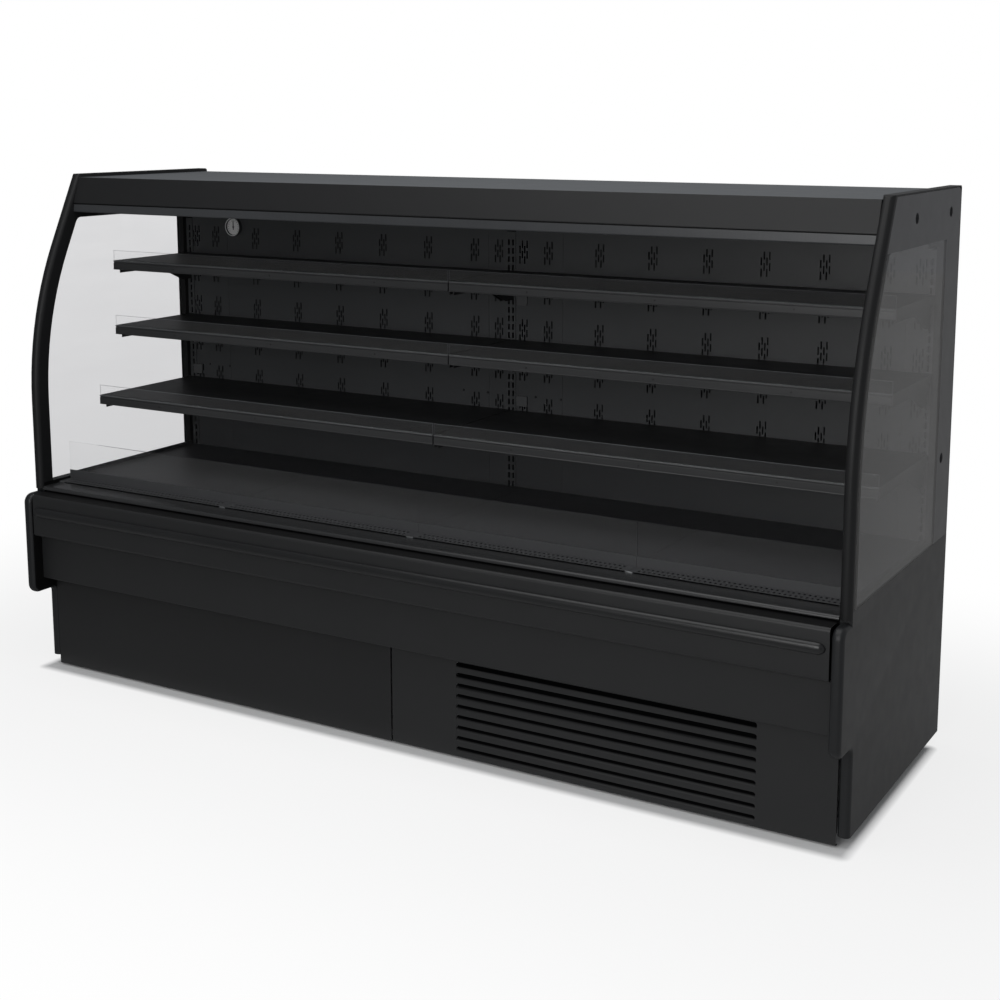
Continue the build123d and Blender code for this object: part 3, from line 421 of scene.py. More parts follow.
def round_edges(piece, width, segments=2, angle=30):
    """Smooth faces with a small bevel along each sharp edge."""
    piece.data.shade_smooth()
    piece.data.set_sharp_from_angle(angle=math.radians(angle))
    if not width:
        return
    bevel = piece.modifiers.new("edges", "BEVEL")
    bevel.width = width
    bevel.segments = segments
    bevel.limit_method = "ANGLE"
    bevel.angle_limit = math.radians(angle)
    bevel.harden_normals = True
    bevel.use_clamp_overlap = True


OWN_FINISH = {
    "wall_panels": "wall_coat", "uprights": "wall_coat", "nose": "nose_profile", "covers": "cover_plastic",
    "fascia": "fascia_coat", "kick_left_panel": "fascia_coat", "end_frame_pair": "post_coat",
}
OWN_FINISH |= {f"deck_{number}": "deck_coat" for number in (1, 2, 3, 4)}


def dress(name, nodes, width, segments=2):
    """A bevelled copy of CAD nodes in the finish of their slot, or in one of its own."""
    nodes = [nodes] if isinstance(nodes, str) else list(nodes)
    mesh = merged_copy(name, nodes)
    slot = slot_of[nodes[0]]
    piece = set_piece(name, mesh, body_of[nodes[0]], slot, nodes, finishes[OWN_FINISH.get(name, slot)])
    round_edges(piece, width, segments)
    return piece


print("dressing helpers ready")

# %% [markdown]
# ## The large pieces
# Each row of the table is one piece: its name, the part it stands for, and the radius of its edges.
# Folded sheet gets a fold radius, thick mouldings a larger one.

# %% Dress the plain parts
PLAIN = [
    ("roof", "roof_panel", 0.0005), ("fascia", "canopy_fascia", 0.0006), ("diffuser", "light_diffuser", 0.0005),
    ("canopy", "canopy_body", 0.0010), ("lamps", "led_lamps", 0.0020), ("body_shell", "insulated_body", 0.0020),
    ("nose", "nose_profile", 0.0008), ("bumper", "bumper_panel", 0.0005),
    ("apron", "lower_fascia", 0.0005), ("kick_left_panel", "kick_panel_left", 0.0004),
    ("end_frame_pair", "end_frames", 0.0010), ("end_panes", "end_glass", 0.0005),
    ("end_panels", "lower_ends", 0.0010), ("deck_screens", "deck_risers", 0.0005),
    ("supports", "deck_supports", 0.0006), ("frame_rails", "base_frame", 0.0020),
    ("feet", "levelling_feet", 0.0010), ("wall_panels", "back_panels", 0), ("uprights", "shelf_uprights", 0),
    ("brackets", "shelf_brackets", 0.0006), ("fan_panel", "fan_plate", 0.0004),
    ("compressor_shell", "compressor", 0.0010), ("shroud", "condenser_shroud", 0.0004),
    ("control_box", "electrical_box", 0.0012), ("inlet", "power_inlet", 0.0006),
    ("thermometer", "thermometer_case", 0.0010), ("needle_hand", "thermometer_needle", 0.0002),
    ("covers", "socket_covers", 0.0010),
]
PLAIN += [(f"deck_{number}", f"deck_pan_{number}", 0.0006) for number in (1, 2, 3, 4)]
SHELVES = [f"{row}_{side}" for row in ("top", "middle", "lower") for side in ("left", "right")]
for shelf in SHELVES:
    PLAIN += [(f"{shelf}_pan", f"{shelf}_shelf", 0.0006), (f"{shelf}_screen", f"{shelf}_riser", 0.0005)]
pieces = {name: dress(name, node, width) for name, node, width in PLAIN}
print("pieces:", len(pieces))

# %% [markdown]
# ## Bright edges on the clear sheets
# Clear sheet looks dark through its face but bright along a sawn edge, because light travels inside
# it and comes out there. So the bevels of the clear sheets, and their narrow top faces, get a pale,
# rougher finish of their own: partly a frosted sawn edge, partly a painted highlight.

# %% Sawn edges
# pale frosted edge, made paler as a painted highlight along the top edges
tree, shader, coords = start_material("sawn_edge")
saw = noise(tree, stretched(tree, coords, (60, 60, 6)), 18.0, 3.0)
tone = blend_colours(tree, between(tree, saw, 0, 1), (0.17, 0.18, 0.19), (0.26, 0.28, 0.29))
feed(tree, shader, Base_Color=tone, Roughness=between(tree, saw, 0.25, 0.45), Transmission_Weight=0.35)


def second_finish(name, finish, chosen, bevel_slot):
    """Give the chosen faces of a piece a second finish, and say which finish its bevels take."""
    piece = pieces[name]
    piece.data.materials.append(finishes[finish])
    for face in piece.data.polygons:
        if chosen(face):
            face.material_index = 1
    piece.modifiers["edges"].material = bevel_slot


screens = [name for name in pieces if name.endswith("_screen")]
for name in screens:
    second_finish(name, "sawn_edge", lambda face: face.normal.z > 0.9, 1)
print("clear screens:", len(screens))

# %% [markdown]
# ## Faces with a second finish
# The inner sides of the end panels are painted near-black: a painted shade for the shadow they lie in.
# The ledge on top of the bumper, under the nose, is painted near-black too: a painted shadow.
# Each end pane is printed dark where it covers the frame's top and rear bars, so its faces are cut
# along the edges of the window first, and its rear top corner follows the round corner of the frame.
# The thermometer's case is grey, its dial white.

# %% Second finishes
# painted shade: the inner sides of the end panels take the near-black finish for the shadow they lie in
second_finish(
    "end_panels", "seal_black", lambda face: face.normal.x * face.center.x < 0 and abs(face.normal.x) > 0.9, 0,
)
# painted shadow: the bumper's top ledge under the nose takes the near-black rubber finish
second_finish("bumper", "rubber", lambda face: face.normal.z > 0.9 and face.center.z > 0.55, 0)
WINDOW_REAR, WINDOW_TOP = 0.2975, 1.379
PANE_CORNER = 0.020
panes = bmesh.new()
panes.from_mesh(pieces["end_panes"].data)
for place, normal in (((0, WINDOW_REAR, 0), (0, 1, 0)), ((0, 0, WINDOW_TOP), (0, 0, 1))):
    everything = panes.verts[:] + panes.edges[:] + panes.faces[:]
    bmesh.ops.bisect_plane(panes, geom=everything, plane_co=place, plane_no=normal)
rear, top = max(v.co.y for v in panes.verts), max(v.co.z for v in panes.verts)
corner = [
    edge for edge in panes.edges if all(v.co.y > rear - 1e-4 and v.co.z > top - 1e-4 for v in edge.verts)
]
bmesh.ops.bevel(panes, geom=corner, offset=PANE_CORNER, segments=6, profile=0.5, affect="EDGES")
print("rounded pane corners:", len(corner))
panes.to_mesh(pieces["end_panes"].data)
panes.free()
pieces["end_panes"].data.set_sharp_from_angle(angle=math.radians(30))
second_finish(
    "end_panes", "glass_print", lambda face: face.center.y > WINDOW_REAR or face.center.z > WINDOW_TOP, 0,
)
second_finish("thermometer", "grey_plastic", lambda face: face.normal.y > -0.9, 1)
for name in ("end_panels", "bumper", "end_panes", "thermometer"):
    print(name, "faces in the second finish:", sum(face.material_index for face in pieces[name].data.polygons))

# %% [markdown]
# ## Repeated detail with Geometry Nodes
# Screws, louvres, fins, honeycomb cells, grille bars and fan blades all repeat. A small mesh of
# loose points says where the copies go, and a node tree says what one copy looks like and how big
# it is. The tree ends in Realize Instances and Set Material, and its result is kept as a plain mesh.

# %% Helpers: build and run a tree
def start_tree(name, sizes):
    """A Geometry Nodes tree with a geometry input and output, and one named input for each size."""
    tree = bpy.data.node_groups.new(name, "GeometryNodeTree")
    tree.interface.new_socket("Geometry", in_out="INPUT", socket_type="NodeSocketGeometry")
    tree.interface.new_socket("Geometry", in_out="OUTPUT", socket_type="NodeSocketGeometry")
    for key, value in sizes.items():
        kind = "NodeSocketInt" if isinstance(value, int) else "NodeSocketFloat"
        tree.interface.new_socket(key, in_out="INPUT", socket_type=kind)
    tree.interface.new_socket("Finish", in_out="INPUT", socket_type="NodeSocketMaterial")
    entry = tree.nodes.new("NodeGroupInput")
    return tree, {socket.name: Number(tree, socket) for socket in entry.outputs}


def vector(tree, x=0.0, y=0.0, z=0.0):
    """Three numbers as one vector."""
    return wire(tree, "ShaderNodeCombineXYZ", X=x, Y=y, Z=z).outputs[0]


def thicken(tree, surface, thickness):
    """A closed shell from an open surface."""
    pushed = wire(
        tree, "GeometryNodeExtrudeMesh", {"mode": "FACES"}, Mesh=surface, Offset_Scale=thickness, Individual=False,
    ).outputs["Mesh"]
    back = wire(tree, "GeometryNodeFlipFaces", Mesh=surface).outputs[0]
    shell = join(tree, pushed, back)
    return wire(tree, "GeometryNodeMergeByDistance", Geometry=shell, Distance=0.00001).outputs[0]


def join(tree, *shapes):
    """Several geometries as one."""
    node = tree.nodes.new("GeometryNodeJoinGeometry")
    for shape in shapes:
        tree.links.new(shape, node.inputs[0])
    return node.outputs[0]


def moved(tree, shape, offset=(0, 0, 0), turn=(0, 0, 0)):
    """A geometry turned, then shifted."""
    return wire(tree, "GeometryNodeTransform", Geometry=shape, Translation=offset, Rotation=turn).outputs[0]


def on_points(tree, points, unit, turn=(0, 0, 0)):
    """A copy of the unit at each point."""
    return wire(tree, "GeometryNodeInstanceOnPoints", Points=points, Instance=unit, Rotation=turn).outputs[0]


def real(tree, shape):
    """Copies turned into geometry of their own."""
    return wire(tree, "GeometryNodeRealizeInstances", Geometry=shape).outputs[0]


def end_tree(tree, size, shape):
    """Turn the copies into real faces, give them their finish, and send them out."""
    coated = wire(tree, "GeometryNodeSetMaterial", Geometry=real(tree, shape), Material=size["Finish"]).outputs[0]
    wire(tree, "NodeGroupOutput", Geometry=coated)
    return tree


def end_on_points(tree, size, unit, turn=(0, 0, 0)):
    """End a tree with a copy of the unit at each point."""
    return end_tree(tree, size, on_points(tree, size["Geometry"], unit, turn))


def filled(tree, *curves):
    """The flat face between outlines."""
    return wire(tree, "GeometryNodeFillCurve", {"mode": "NGONS"}, Curve=join(tree, *curves)).outputs[0]


def circle(tree, sides, radius):
    """A round outline."""
    return wire(tree, "GeometryNodeCurvePrimitiveCircle", Resolution=sides, Radius=radius).outputs[0]


def cone(tree, sides, top, bottom, height):
    """A cone cut off at the top."""
    return wire(
        tree, "GeometryNodeMeshCone", Vertices=sides, Side_Segments=1, Fill_Segments=1,
        Radius_Top=top, Radius_Bottom=bottom, Depth=height,
    ).outputs["Mesh"]


def grow(name, tree, places, sizes, finish, outline=False):
    """Run a tree on loose points, or on one face drawn through them, and keep the result as a plain mesh."""
    points = bpy.data.meshes.new("seed")
    points.from_pydata([tuple(place) for place in places], [], [list(range(len(places)))] if outline else [])
    seed = bpy.data.objects.new("seed", points)
    scene.collection.objects.link(seed)
    modifier = seed.modifiers.new("tree", "NODES")
    modifier.node_group = tree
    for socket in tree.interface.items_tree:
        if socket.in_out == "INPUT" and socket.name in sizes:
            modifier[socket.identifier] = sizes[socket.name]
        elif socket.in_out == "INPUT" and socket.name == "Finish":
            modifier[socket.identifier] = finish
    mesh = bpy.data.meshes.new_from_object(seed.evaluated_get(bpy.context.evaluated_depsgraph_get()))
    mesh.name = name
    mesh.materials.clear()
    mesh.materials.append(finish)
    mesh.polygons.foreach_set("material_index", [0] * len(mesh.polygons))
    seed.modifiers.clear()
    bpy.data.objects.remove(seed)
    bpy.data.meshes.remove(points)
    return mesh


print("tree helpers ready")

# %% [markdown]
# ## Screws
# The ticket rails and the wall sheets are held by small pan-head screws with a cross recess. The
# head is a low cone under a thin disc, and the disc has a four-pointed star left open as its recess.
# Filling between two outlines is quicker and cleaner than cutting one solid out of another.

# %% Screw tree
SCREW = {"Radius": 0.0037, "Height": 0.0015, "Recess": 0.0008}
UPRIGHT = (math.radians(90), 0, 0)
tree, size = start_tree("pan_head_screw", SCREW)
top_radius = size["Radius"] * 0.78
skirt_height = size["Height"] - size["Recess"]
skirt = cone(tree, 20, top_radius, size["Radius"], skirt_height)
star = wire(
    tree, "GeometryNodeCurveStar", Points=4, Inner_Radius=size["Radius"] * 0.2, Outer_Radius=size["Radius"] * 0.6,
).outputs[0]
disc = thicken(tree, filled(tree, circle(tree, 20, top_radius), star), size["Recess"])
head = join(tree, skirt, moved(tree, disc, vector(tree, z=skirt_height)))
screw_tree = end_on_points(tree, size, moved(tree, head, turn=UPRIGHT))
print("screw tree nodes:", len(screw_tree.nodes))

# %% Screws of the wall sheets
low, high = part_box("panel_screws")
wall_places = [
    (module_start + seam + offset, high.y, (low.z + high.z) / 2)
    for module_start in (-1.250, 0.0) for seam in (0.173, 1.173) for offset in (-0.090, -0.005)
]
set_piece(
    "wall_screws", grow("wall_screws", screw_tree, wall_places, SCREW, finishes["dark_screw"]),
    "cabinet", "zinc", ["panel_screws"],
)
print("wall screws:", len(wall_places))

# %% [markdown]
# ## Ticket rails
# A ticket rail is an extruded profile: a rounded lip on top, a groove under it that takes the tag
# holder, a face set back a little, and a small lower lip. The section is drawn once, and the tree
# pulls it along the length of the shelf. The lip is painted paler: a painted highlight where it
# catches the light.

# %% Profile tree and the six rails
tree, size = start_tree("pulled_profile", {"Length": 1.246})
pulled_tree = end_tree(tree, size, thicken(tree, size["Geometry"], size["Length"]))
# depth behind the front and height above the foot, in millimetres
RAIL_SECTION = [
    (8, 0), (8, 28), (1.4, 28), (0.5, 27.6), (0.0, 26.9), (0.0, 25.8), (0.5, 25.1), (3.4, 24.7), (3.4, 21.7),
    (1.5, 21.2), (1.0, 20.6), (0.9, 12), (1.0, 3.4), (0.5, 2.9), (0.0, 2.3), (0.0, 0.9), (0.4, 0.3), (1.0, 0),
]
RAIL_LIP_FOOT = 0.0247
for shelf in SHELVES:
    node = f"{shelf}_ticket_rail"
    low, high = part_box(node)
    section = [(low.x, low.y + depth / 1000, low.z + rise / 1000) for depth, rise in RAIL_SECTION]
    length = {"Length": high.x - low.x}
    mesh = grow(f"{shelf}_rail", pulled_tree, section, length, finishes["rail_profile"], outline=True)
    # the upper lip's faces take the paler finish: a painted highlight
    mesh.materials.append(finishes["rail_lip"])
    for face in mesh.polygons:
        face.material_index = int(face.center.z > low.z + RAIL_LIP_FOOT and abs(face.normal.x) < 0.5)
    pieces[mesh.name] = stand_in(mesh.name, mesh, node)
    round_edges(pieces[mesh.name], 0, angle=35)
print("rails:", sum(name.endswith("_rail") for name in pieces))

# %% Screws of the ticket rails
RAIL_SCREW = {"Radius": 0.0026, "Height": 0.0012, "Recess": 0.0006}
RAIL_SCREW_SPOTS = (0.249, 0.626, 1.001)
RAIL_FACE, SCREW_HEIGHT = 0.0012, 0.012      # behind the rail's front, above its foot
for shelf in SHELVES:
    low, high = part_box(f"{shelf}_ticket_rail")
    sign = -1 if shelf.endswith("left") else 1
    spots = [(sign * x, low.y + RAIL_FACE, low.z + SCREW_HEIGHT) for x in RAIL_SCREW_SPOTS]
    mesh = grow(f"{shelf}_rail_screws", screw_tree, spots, RAIL_SCREW, finishes["black_profile"])
    set_piece(mesh.name, mesh, f"{shelf}_shelf_body", "black_profile")
print("rail screws:", 6 * len(RAIL_SCREW_SPOTS))

# %% [markdown]
# ## Surfaces from a formula
# A louvre, a fan blade or a rounded bead is a flat grid whose points are moved by a rule. One helper
# makes the grid and hands back two numbers for each point: how far along it lies and how far across,
# both from 0 to 1. The tree then works out where the point goes.

# %% Helpers: a grid with its own two coordinates
def grid(tree, along, across):
    """A grid, and the share of its length and width at each point."""
    mesh = wire(
        tree, "GeometryNodeMeshGrid", Size_X=1.0, Size_Y=1.0, Vertices_X=along, Vertices_Y=across,
    ).outputs["Mesh"]
    place = wire(tree, "ShaderNodeSeparateXYZ", Vector=wire(tree, "GeometryNodeInputPosition").outputs[0])
    return mesh, calc(tree, "ADD", place.outputs["X"], 0.5), calc(tree, "ADD", place.outputs["Y"], 0.5)


def shaped(tree, mesh, x, y, z):
    """The mesh with each point moved to the place that was worked out for it."""
    return wire(tree, "GeometryNodeSetPosition", Geometry=mesh, Position=vector(tree, x, y, z)).outputs[0]


def closer_at_ends(tree, share):
    """Points along a length, packed towards both ends: -1 to 1, from a share of 0 to 1."""
    side = share * 2.0 - 1.0
    inner = 1.0 - calc(tree, "ABSOLUTE", side)
    return calc(tree, "SIGN", side) * (1.0 - calc(tree, "POWER", inner, 2.0))


def round_end(tree, side, half, radius):
    """1 along the length, falling to 0 in a quarter circle of the given radius at each end."""
    left = (1.0 - calc(tree, "ABSOLUTE", side)) * half
    short = calc(tree, "MAXIMUM", 1.0 - left / radius, 0.0)
    return calc(tree, "SQRT", calc(tree, "MAXIMUM", 1.0 - short * short, 0.0))


def end_shell(tree, size, surface, thickness):
    """End a tree with a smooth, thickened surface at each point."""
    smooth = wire(tree, "GeometryNodeSetShadeSmooth", Geometry=surface, Shade_Smooth=True).outputs[0]
    return end_on_points(tree, size, thicken(tree, smooth, thickness))


print("surface helpers ready")

# %% [markdown]
# ## Perforated sheet
# Punched sheet is a flat outline with holes. Cutting hundreds of holes one by one is slow, so the
# tree lays a hole outline on each point, fills between the outlines, and gives the result its
# thickness. The points are given in the plane of the sheet, and the sheet is turned upright or left
# lying.

# %% Perforated sheet tree
def rectangle(tree, width, height):
    """A rectangular outline."""
    return wire(tree, "GeometryNodeCurvePrimitiveQuadrilateral", Width=width, Height=height).outputs[0]


def perforated(tree, size, width, height, hole, thickness, turn=(0, 0, 0)):
    """A lying sheet with a hole at each point."""
    holes = real(tree, on_points(tree, size["Geometry"], hole, turn))
    return thicken(tree, filled(tree, rectangle(tree, width, height), holes), thickness)


def placed(tree, size, shape, turn=(0, 0, 0)):
    """A shape turned, then shifted to the place among the sizes."""
    return moved(tree, shape, vector(tree, size["Place X"], size["Place Y"], size["Place Z"]), turn)


SHEET = {
    "Width": 1.0, "Height": 1.0, "Thickness": 0.0012, "Hole Width": 0.02, "Hole Height": 0.01, "Corner": 0.002,
    "Upright": 1.0, "Place X": 0.0, "Place Y": 0.0, "Place Z": 0.0,
}
tree, size = start_tree("perforated_sheet", SHEET)
hole = wire(
    tree, "GeometryNodeFilletCurve", {"mode": "POLY"}, Count=3, Radius=size["Corner"], Limit_Radius=True,
    Curve=rectangle(tree, size["Hole Width"], size["Hole Height"]),
).outputs[0]
sheet = perforated(tree, size, size["Width"], size["Height"], hole, size["Thickness"])
sheet_tree = end_tree(tree, size, placed(tree, size, sheet, vector(tree, x=size["Upright"] * math.radians(90))))
print("sheet tree nodes:", len(sheet_tree.nodes))

# %% [markdown]
# ## The louvred kick panel
# The right kick panel lets air into the condensing unit through nine pressed louvres. Each one is
# cut along its top and pushed in, so the sheet runs flush out of its lower edge, curves back and
# up, and closes round at both ends. A boolean cut can't give that curve, so each pitch of the panel
# is one formula surface: a flat strip, then the slat. The sheet around them is perforated sheet with
# a single hole, and a folded lip closes it above and below.

# %% Louvre tree
low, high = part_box("kick_panel_right")
LOUVRE = {
    "Length": 0.843, "Pitch": 0.02925, "Opening": 0.015, "Depth": 0.0145, "End Radius": 0.0075, "Thickness": 0.0010,
}
LOUVRE_ROWS = 9
LOUVRE_MIDDLE = 0.6265
LOUVRE_FOOT = 0.020
SLAT_STEPS = 9
tree, size = start_tree("pressed_louvre", LOUVRE)
mesh, along, across = grid(tree, 56, SLAT_STEPS)
side = closer_at_ends(tree, along)
half = size["Length"] * 0.5
bulge = round_end(tree, side, half, size["End Radius"])
corner = size["End Radius"] * (1.0 - bulge)
strip_share = 1 / (SLAT_STEPS - 1)
strip = calc(tree, "MAXIMUM", 1.0 - across / strip_share, 0.0)
slat = calc(tree, "MAXIMUM", (across - strip_share) / (1 - strip_share), 0.0)
height = slat * (size["Opening"] - corner) - strip * (size["Pitch"] - size["Opening"] + corner)
inward = size["Depth"] * bulge * calc(tree, "POWER", slat, 0.85)
louvre_tree = end_shell(tree, size, shaped(tree, mesh, side * half, inward, height), size["Thickness"])
print("louvre tree nodes:", len(louvre_tree.nodes))

# %% Folded lip tree
LIP = {"Length": 1.0, "Leg": 0.012, "Return": 0.011, "Radius": 0.0025, "Thickness": 0.0012, "Up": 1.0}
tree, size = start_tree("folded_lip", LIP)
LIP_STEPS = 9
mesh, along, across = grid(tree, 2, LIP_STEPS)
# the first step is the leg, the last is the return, and the fold lies between
step = across * (LIP_STEPS - 1)
fold = calc(tree, "MINIMUM", calc(tree, "MAXIMUM", (step - 1.0) / (LIP_STEPS - 3), 0.0), 1.0)
angle = fold * math.radians(90)
leg = calc(tree, "MAXIMUM", 1.0 - step, 0.0)
back = calc(tree, "MAXIMUM", step - (LIP_STEPS - 2), 0.0)
radius = size["Radius"]
inward = radius * (1.0 - calc(tree, "COSINE", angle)) + back * (size["Return"] - radius)
height = radius * (1.0 - calc(tree, "SINE", angle)) + leg * (size["Leg"] - radius)
reach = (0.5 - along) * (size["Length"] * size["Up"])
lip_tree = end_shell(tree, size, shaped(tree, mesh, reach, inward, height * size["Up"]), size["Thickness"])
print("lip tree nodes:", len(lip_tree.nodes))

# %% Put the louvred panel together
def united(name, *meshes):
    """Several plain meshes as one, each in its own finish."""
    whole, coats = bmesh.new(), []
    for part in meshes:
        if part.materials[0] not in coats:
            coats.append(part.materials[0])
        first = len(whole.faces)
        whole.from_mesh(part)
        whole.faces.ensure_lookup_table()
        for face in whole.faces[first:]:
            face.material_index = coats.index(part.materials[0])
    mesh = bpy.data.meshes.new(name)
    whole.to_mesh(mesh)
    whole.free()
    for coat in coats:
        mesh.materials.append(coat)
    return mesh


# painted shade: the coat darkens with depth into each louvre, where little light reaches, and from a shallower
# depth in the top rows, a painted shadow of the apron above them
SHADED = finishes["charcoal_coat"].copy()
SHADED.name = "louvre_painted_shade"
tree = SHADED.node_tree
shader = next(node for node in tree.nodes if node.bl_idname == "ShaderNodeBsdfPrincipled")
coat_colour = shader.inputs["Base Color"].links[0].from_socket
place = wire(tree, "ShaderNodeSeparateXYZ", Vector=wire(tree, "ShaderNodeTexCoord").outputs["Object"]).outputs
reach = remap(tree, place["Z"], (0.205, 0.235), (0.0042, 0.0009))
share = remap(tree, calc(tree, "SUBTRACT", place["Y"], low.y + 0.0016) / reach, (0.0, 1.0), (0.0, 1.0))
feed(
    tree, shader, Base_Color=blend_colours(tree, share, coat_colour, (0.0015, 0.0016, 0.0018)),
    Specular_IOR_Level=share * -0.45 + 0.5,
)
panel_length = high.x - low.x
panel_middle = (low.x + high.x) / 2
zone_height = LOUVRE["Pitch"] * (LOUVRE_ROWS - 1) + LOUVRE["Opening"]
zone_middle = LOUVRE_FOOT + zone_height / 2
sheet_low, sheet_high = low.z + LIP["Leg"], high.z - LIP["Leg"]
sheet_middle = (sheet_low + sheet_high) / 2
panel_back = low.y + 0.0013
around = grow(
    "louvre_surround", sheet_tree, [(LOUVRE_MIDDLE - panel_middle, zone_middle - sheet_middle, 0)],
    SHEET | {
        "Width": panel_length, "Height": sheet_high - sheet_low, "Hole Width": LOUVRE["Length"] - 0.001,
        "Hole Height": zone_height, "Corner": LOUVRE["End Radius"],
        "Place X": panel_middle, "Place Y": panel_back, "Place Z": sheet_middle,
    }, SHADED,
)
slat_places = [
    (LOUVRE_MIDDLE, low.y + LOUVRE["Thickness"], LOUVRE_FOOT + row * LOUVRE["Pitch"]) for row in range(LOUVRE_ROWS)
]
slats = grow("slats", louvre_tree, slat_places[1:], LOUVRE, SHADED)
first_slat = grow("first_slat", louvre_tree, slat_places[:1], LOUVRE | {"Pitch": 0.019}, SHADED)
lips = [
    grow(name, lip_tree, [(panel_middle, panel_back, z)], LIP | {"Length": panel_length, "Up": up}, SHADED)
    for name, z, up in (("lower_lip", low.z + 0.0012, 1.0), ("upper_lip", high.z - 0.0012, -1.0))
]
kick_mesh = united("kick_right_panel", around, first_slat, slats, *lips)
set_piece("kick_right_panel", kick_mesh, "kick_right", "charcoal_coat", ["kick_panel_right"])
kick_mesh.set_sharp_from_angle(angle=math.radians(35))
print("louvred panel faces:", len(kick_mesh.polygons))

# %% [markdown]
# ## The bumper bead
# A half-round bead runs along the bumper to take the knocks of trolleys. It is an extruded plastic
# section with a rounded cap at each end. The section follows a straight path, and its size shrinks
# in a quarter circle at the ends, so one formula surface gives the bead and both caps.

# %% Bead tree
low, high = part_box("bumper_bead")
BEAD = {"Length": high.x - low.x, "Height": high.z - low.z, "Reach": high.y - low.y, "Cap": 0.018, "Wall": 0.001}
tree, size = start_tree("bumper_bead", BEAD)
mesh, along, across = grid(tree, 60, 15)
side = closer_at_ends(tree, along)
half = size["Length"] * 0.5
shrink = calc(tree, "MAXIMUM", round_end(tree, side, half, size["Cap"]), 0.02)
angle = across * math.pi
rise = (size["Height"] * 0.5 - size["Wall"]) * calc(tree, "COSINE", angle) * -1.0
out = (size["Reach"] - size["Wall"]) * calc(tree, "SINE", angle) * -1.0
surface = shaped(tree, mesh, side * half, out * shrink, rise * shrink)
bead_tree = end_shell(tree, size, surface, size["Wall"])
bead_place = ((low.x + high.x) / 2, high.y, (low.z + high.z) / 2)
bead_mesh = grow("bead", bead_tree, [bead_place], BEAD, finishes["bead_profile"])
bead_mesh.set_sharp_from_angle(angle=math.radians(40))
stand_in("bead", bead_mesh, "bumper_bead")
print("bead faces:", len(bead_mesh.polygons))

# %% [markdown]
# ## The return grille
# Air falls across the open front and returns through slots between the deck and the nose. Each of
# the four grilles is a lying strip of perforated sheet with a low fence along its rear edge.

# %% Return grilles
low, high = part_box("return_grilles")
SLOT_PITCH = 0.0135
SHEET_THICKNESS = SHEET["Thickness"]
SEAMS = (-1.250, -0.606, 0.041, 0.690, 1.250)
strips = []
for left, right in zip(SEAMS, SEAMS[1:]):
    width = right - left - 0.0006
    count = int((width - 0.030) / SLOT_PITCH)
    spots = [((n - (count - 1) / 2) * SLOT_PITCH, row, 0) for n in range(count) for row in (-0.0110, 0.0110)]
    strips.append(grow("strip", sheet_tree, spots, SHEET | {
        "Width": width, "Height": high.y - low.y, "Hole Width": 0.0060, "Hole Height": 0.0120, "Corner": 0.0029,
        "Upright": 0.0, "Place X": (left + right) / 2, "Place Y": (low.y + high.y) / 2, "Place Z": low.z,
    }, finishes["deck_coat"]))
    strips.append(grow("fence", sheet_tree, [], SHEET | {
        "Width": width, "Height": high.z - low.z - SHEET_THICKNESS,
        "Place X": (left + right) / 2, "Place Y": high.y,
        "Place Z": (low.z + high.z + SHEET_THICKNESS) / 2,
    }, finishes["deck_coat"]))
grille_mesh = united("grilles", *strips)
stand_in("grilles", grille_mesh, "return_grilles")
print("grille faces:", len(grille_mesh.polygons))

# %% [markdown]
# ## Dial marks and a painted shade strip
# The thermometer's white dial has a ring of printed marks. Each is a short bar that turns to point
# at the middle. A thin near-black strip under the canopy's fascia, at its joint with the diffuser,
# is a painted shade line.

# %% Dial marks
low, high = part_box("thermometer_case")
needle_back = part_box("thermometer_needle")[1].y
MARK = {
    "Centre X": (low.x + high.x) / 2, "Centre Z": (low.z + high.z) / 2, "Width": 0.0012, "Length": 0.0042,
}
MARK_RADIUS = 0.0205
tree, size = start_tree("dial_marks", MARK)
place = wire(tree, "ShaderNodeSeparateXYZ", Vector=wire(tree, "GeometryNodeInputPosition").outputs[0]).outputs
turn = calc(
    tree, "ARCTAN2", calc(tree, "SUBTRACT", place["X"], size["Centre X"]),
    calc(tree, "SUBTRACT", place["Z"], size["Centre Z"]),
)
bar = wire(tree, "GeometryNodeMeshCube", Size=vector(tree, size["Width"], 0.0003, size["Length"])).outputs["Mesh"]
mark_tree = end_on_points(tree, size, bar, vector(tree, y=turn))
marks = []
for step in range(-6, 7):
    angle = math.radians(step * 130 / 6)
    across, up = MARK_RADIUS * math.sin(angle), MARK_RADIUS * math.cos(angle)
    marks.append((MARK["Centre X"] + across, needle_back + 0.0002, MARK["Centre Z"] + up))
mark_mesh = grow("dial_marks", mark_tree, marks, MARK, finishes["needle"])
set_piece("dial_marks", mark_mesh, body_of["thermometer_case"], "dial")
print("dial marks:", len(marks))

# %% Painted shade strip under the fascia
low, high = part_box("canopy_fascia")
# a near-black strip just under the fascia's lower edge: painted shade along the joint
shade_strip = grow("fascia_shade_strip", sheet_tree, [], SHEET | {
    "Width": high.x - low.x, "Height": 0.0030, "Thickness": 0.0020, "Place X": (low.x + high.x) / 2,
    "Place Y": low.y + 0.0012, "Place Z": low.z - 0.0016,
}, finishes["seal_black"])
set_piece("fascia_shade_strip", shade_strip, body_of["canopy_fascia"], "black_profile")
print("seal from", round(low.x, 3), "to", round(high.x, 3))

# %% [markdown]
# ## The air honeycomb
# Cold air leaves the canopy through a honeycomb that straightens it into a curtain. The real one has
# hundreds of thin-walled cells, so each cell is a six-sided hole of a few faces in one thick sheet.

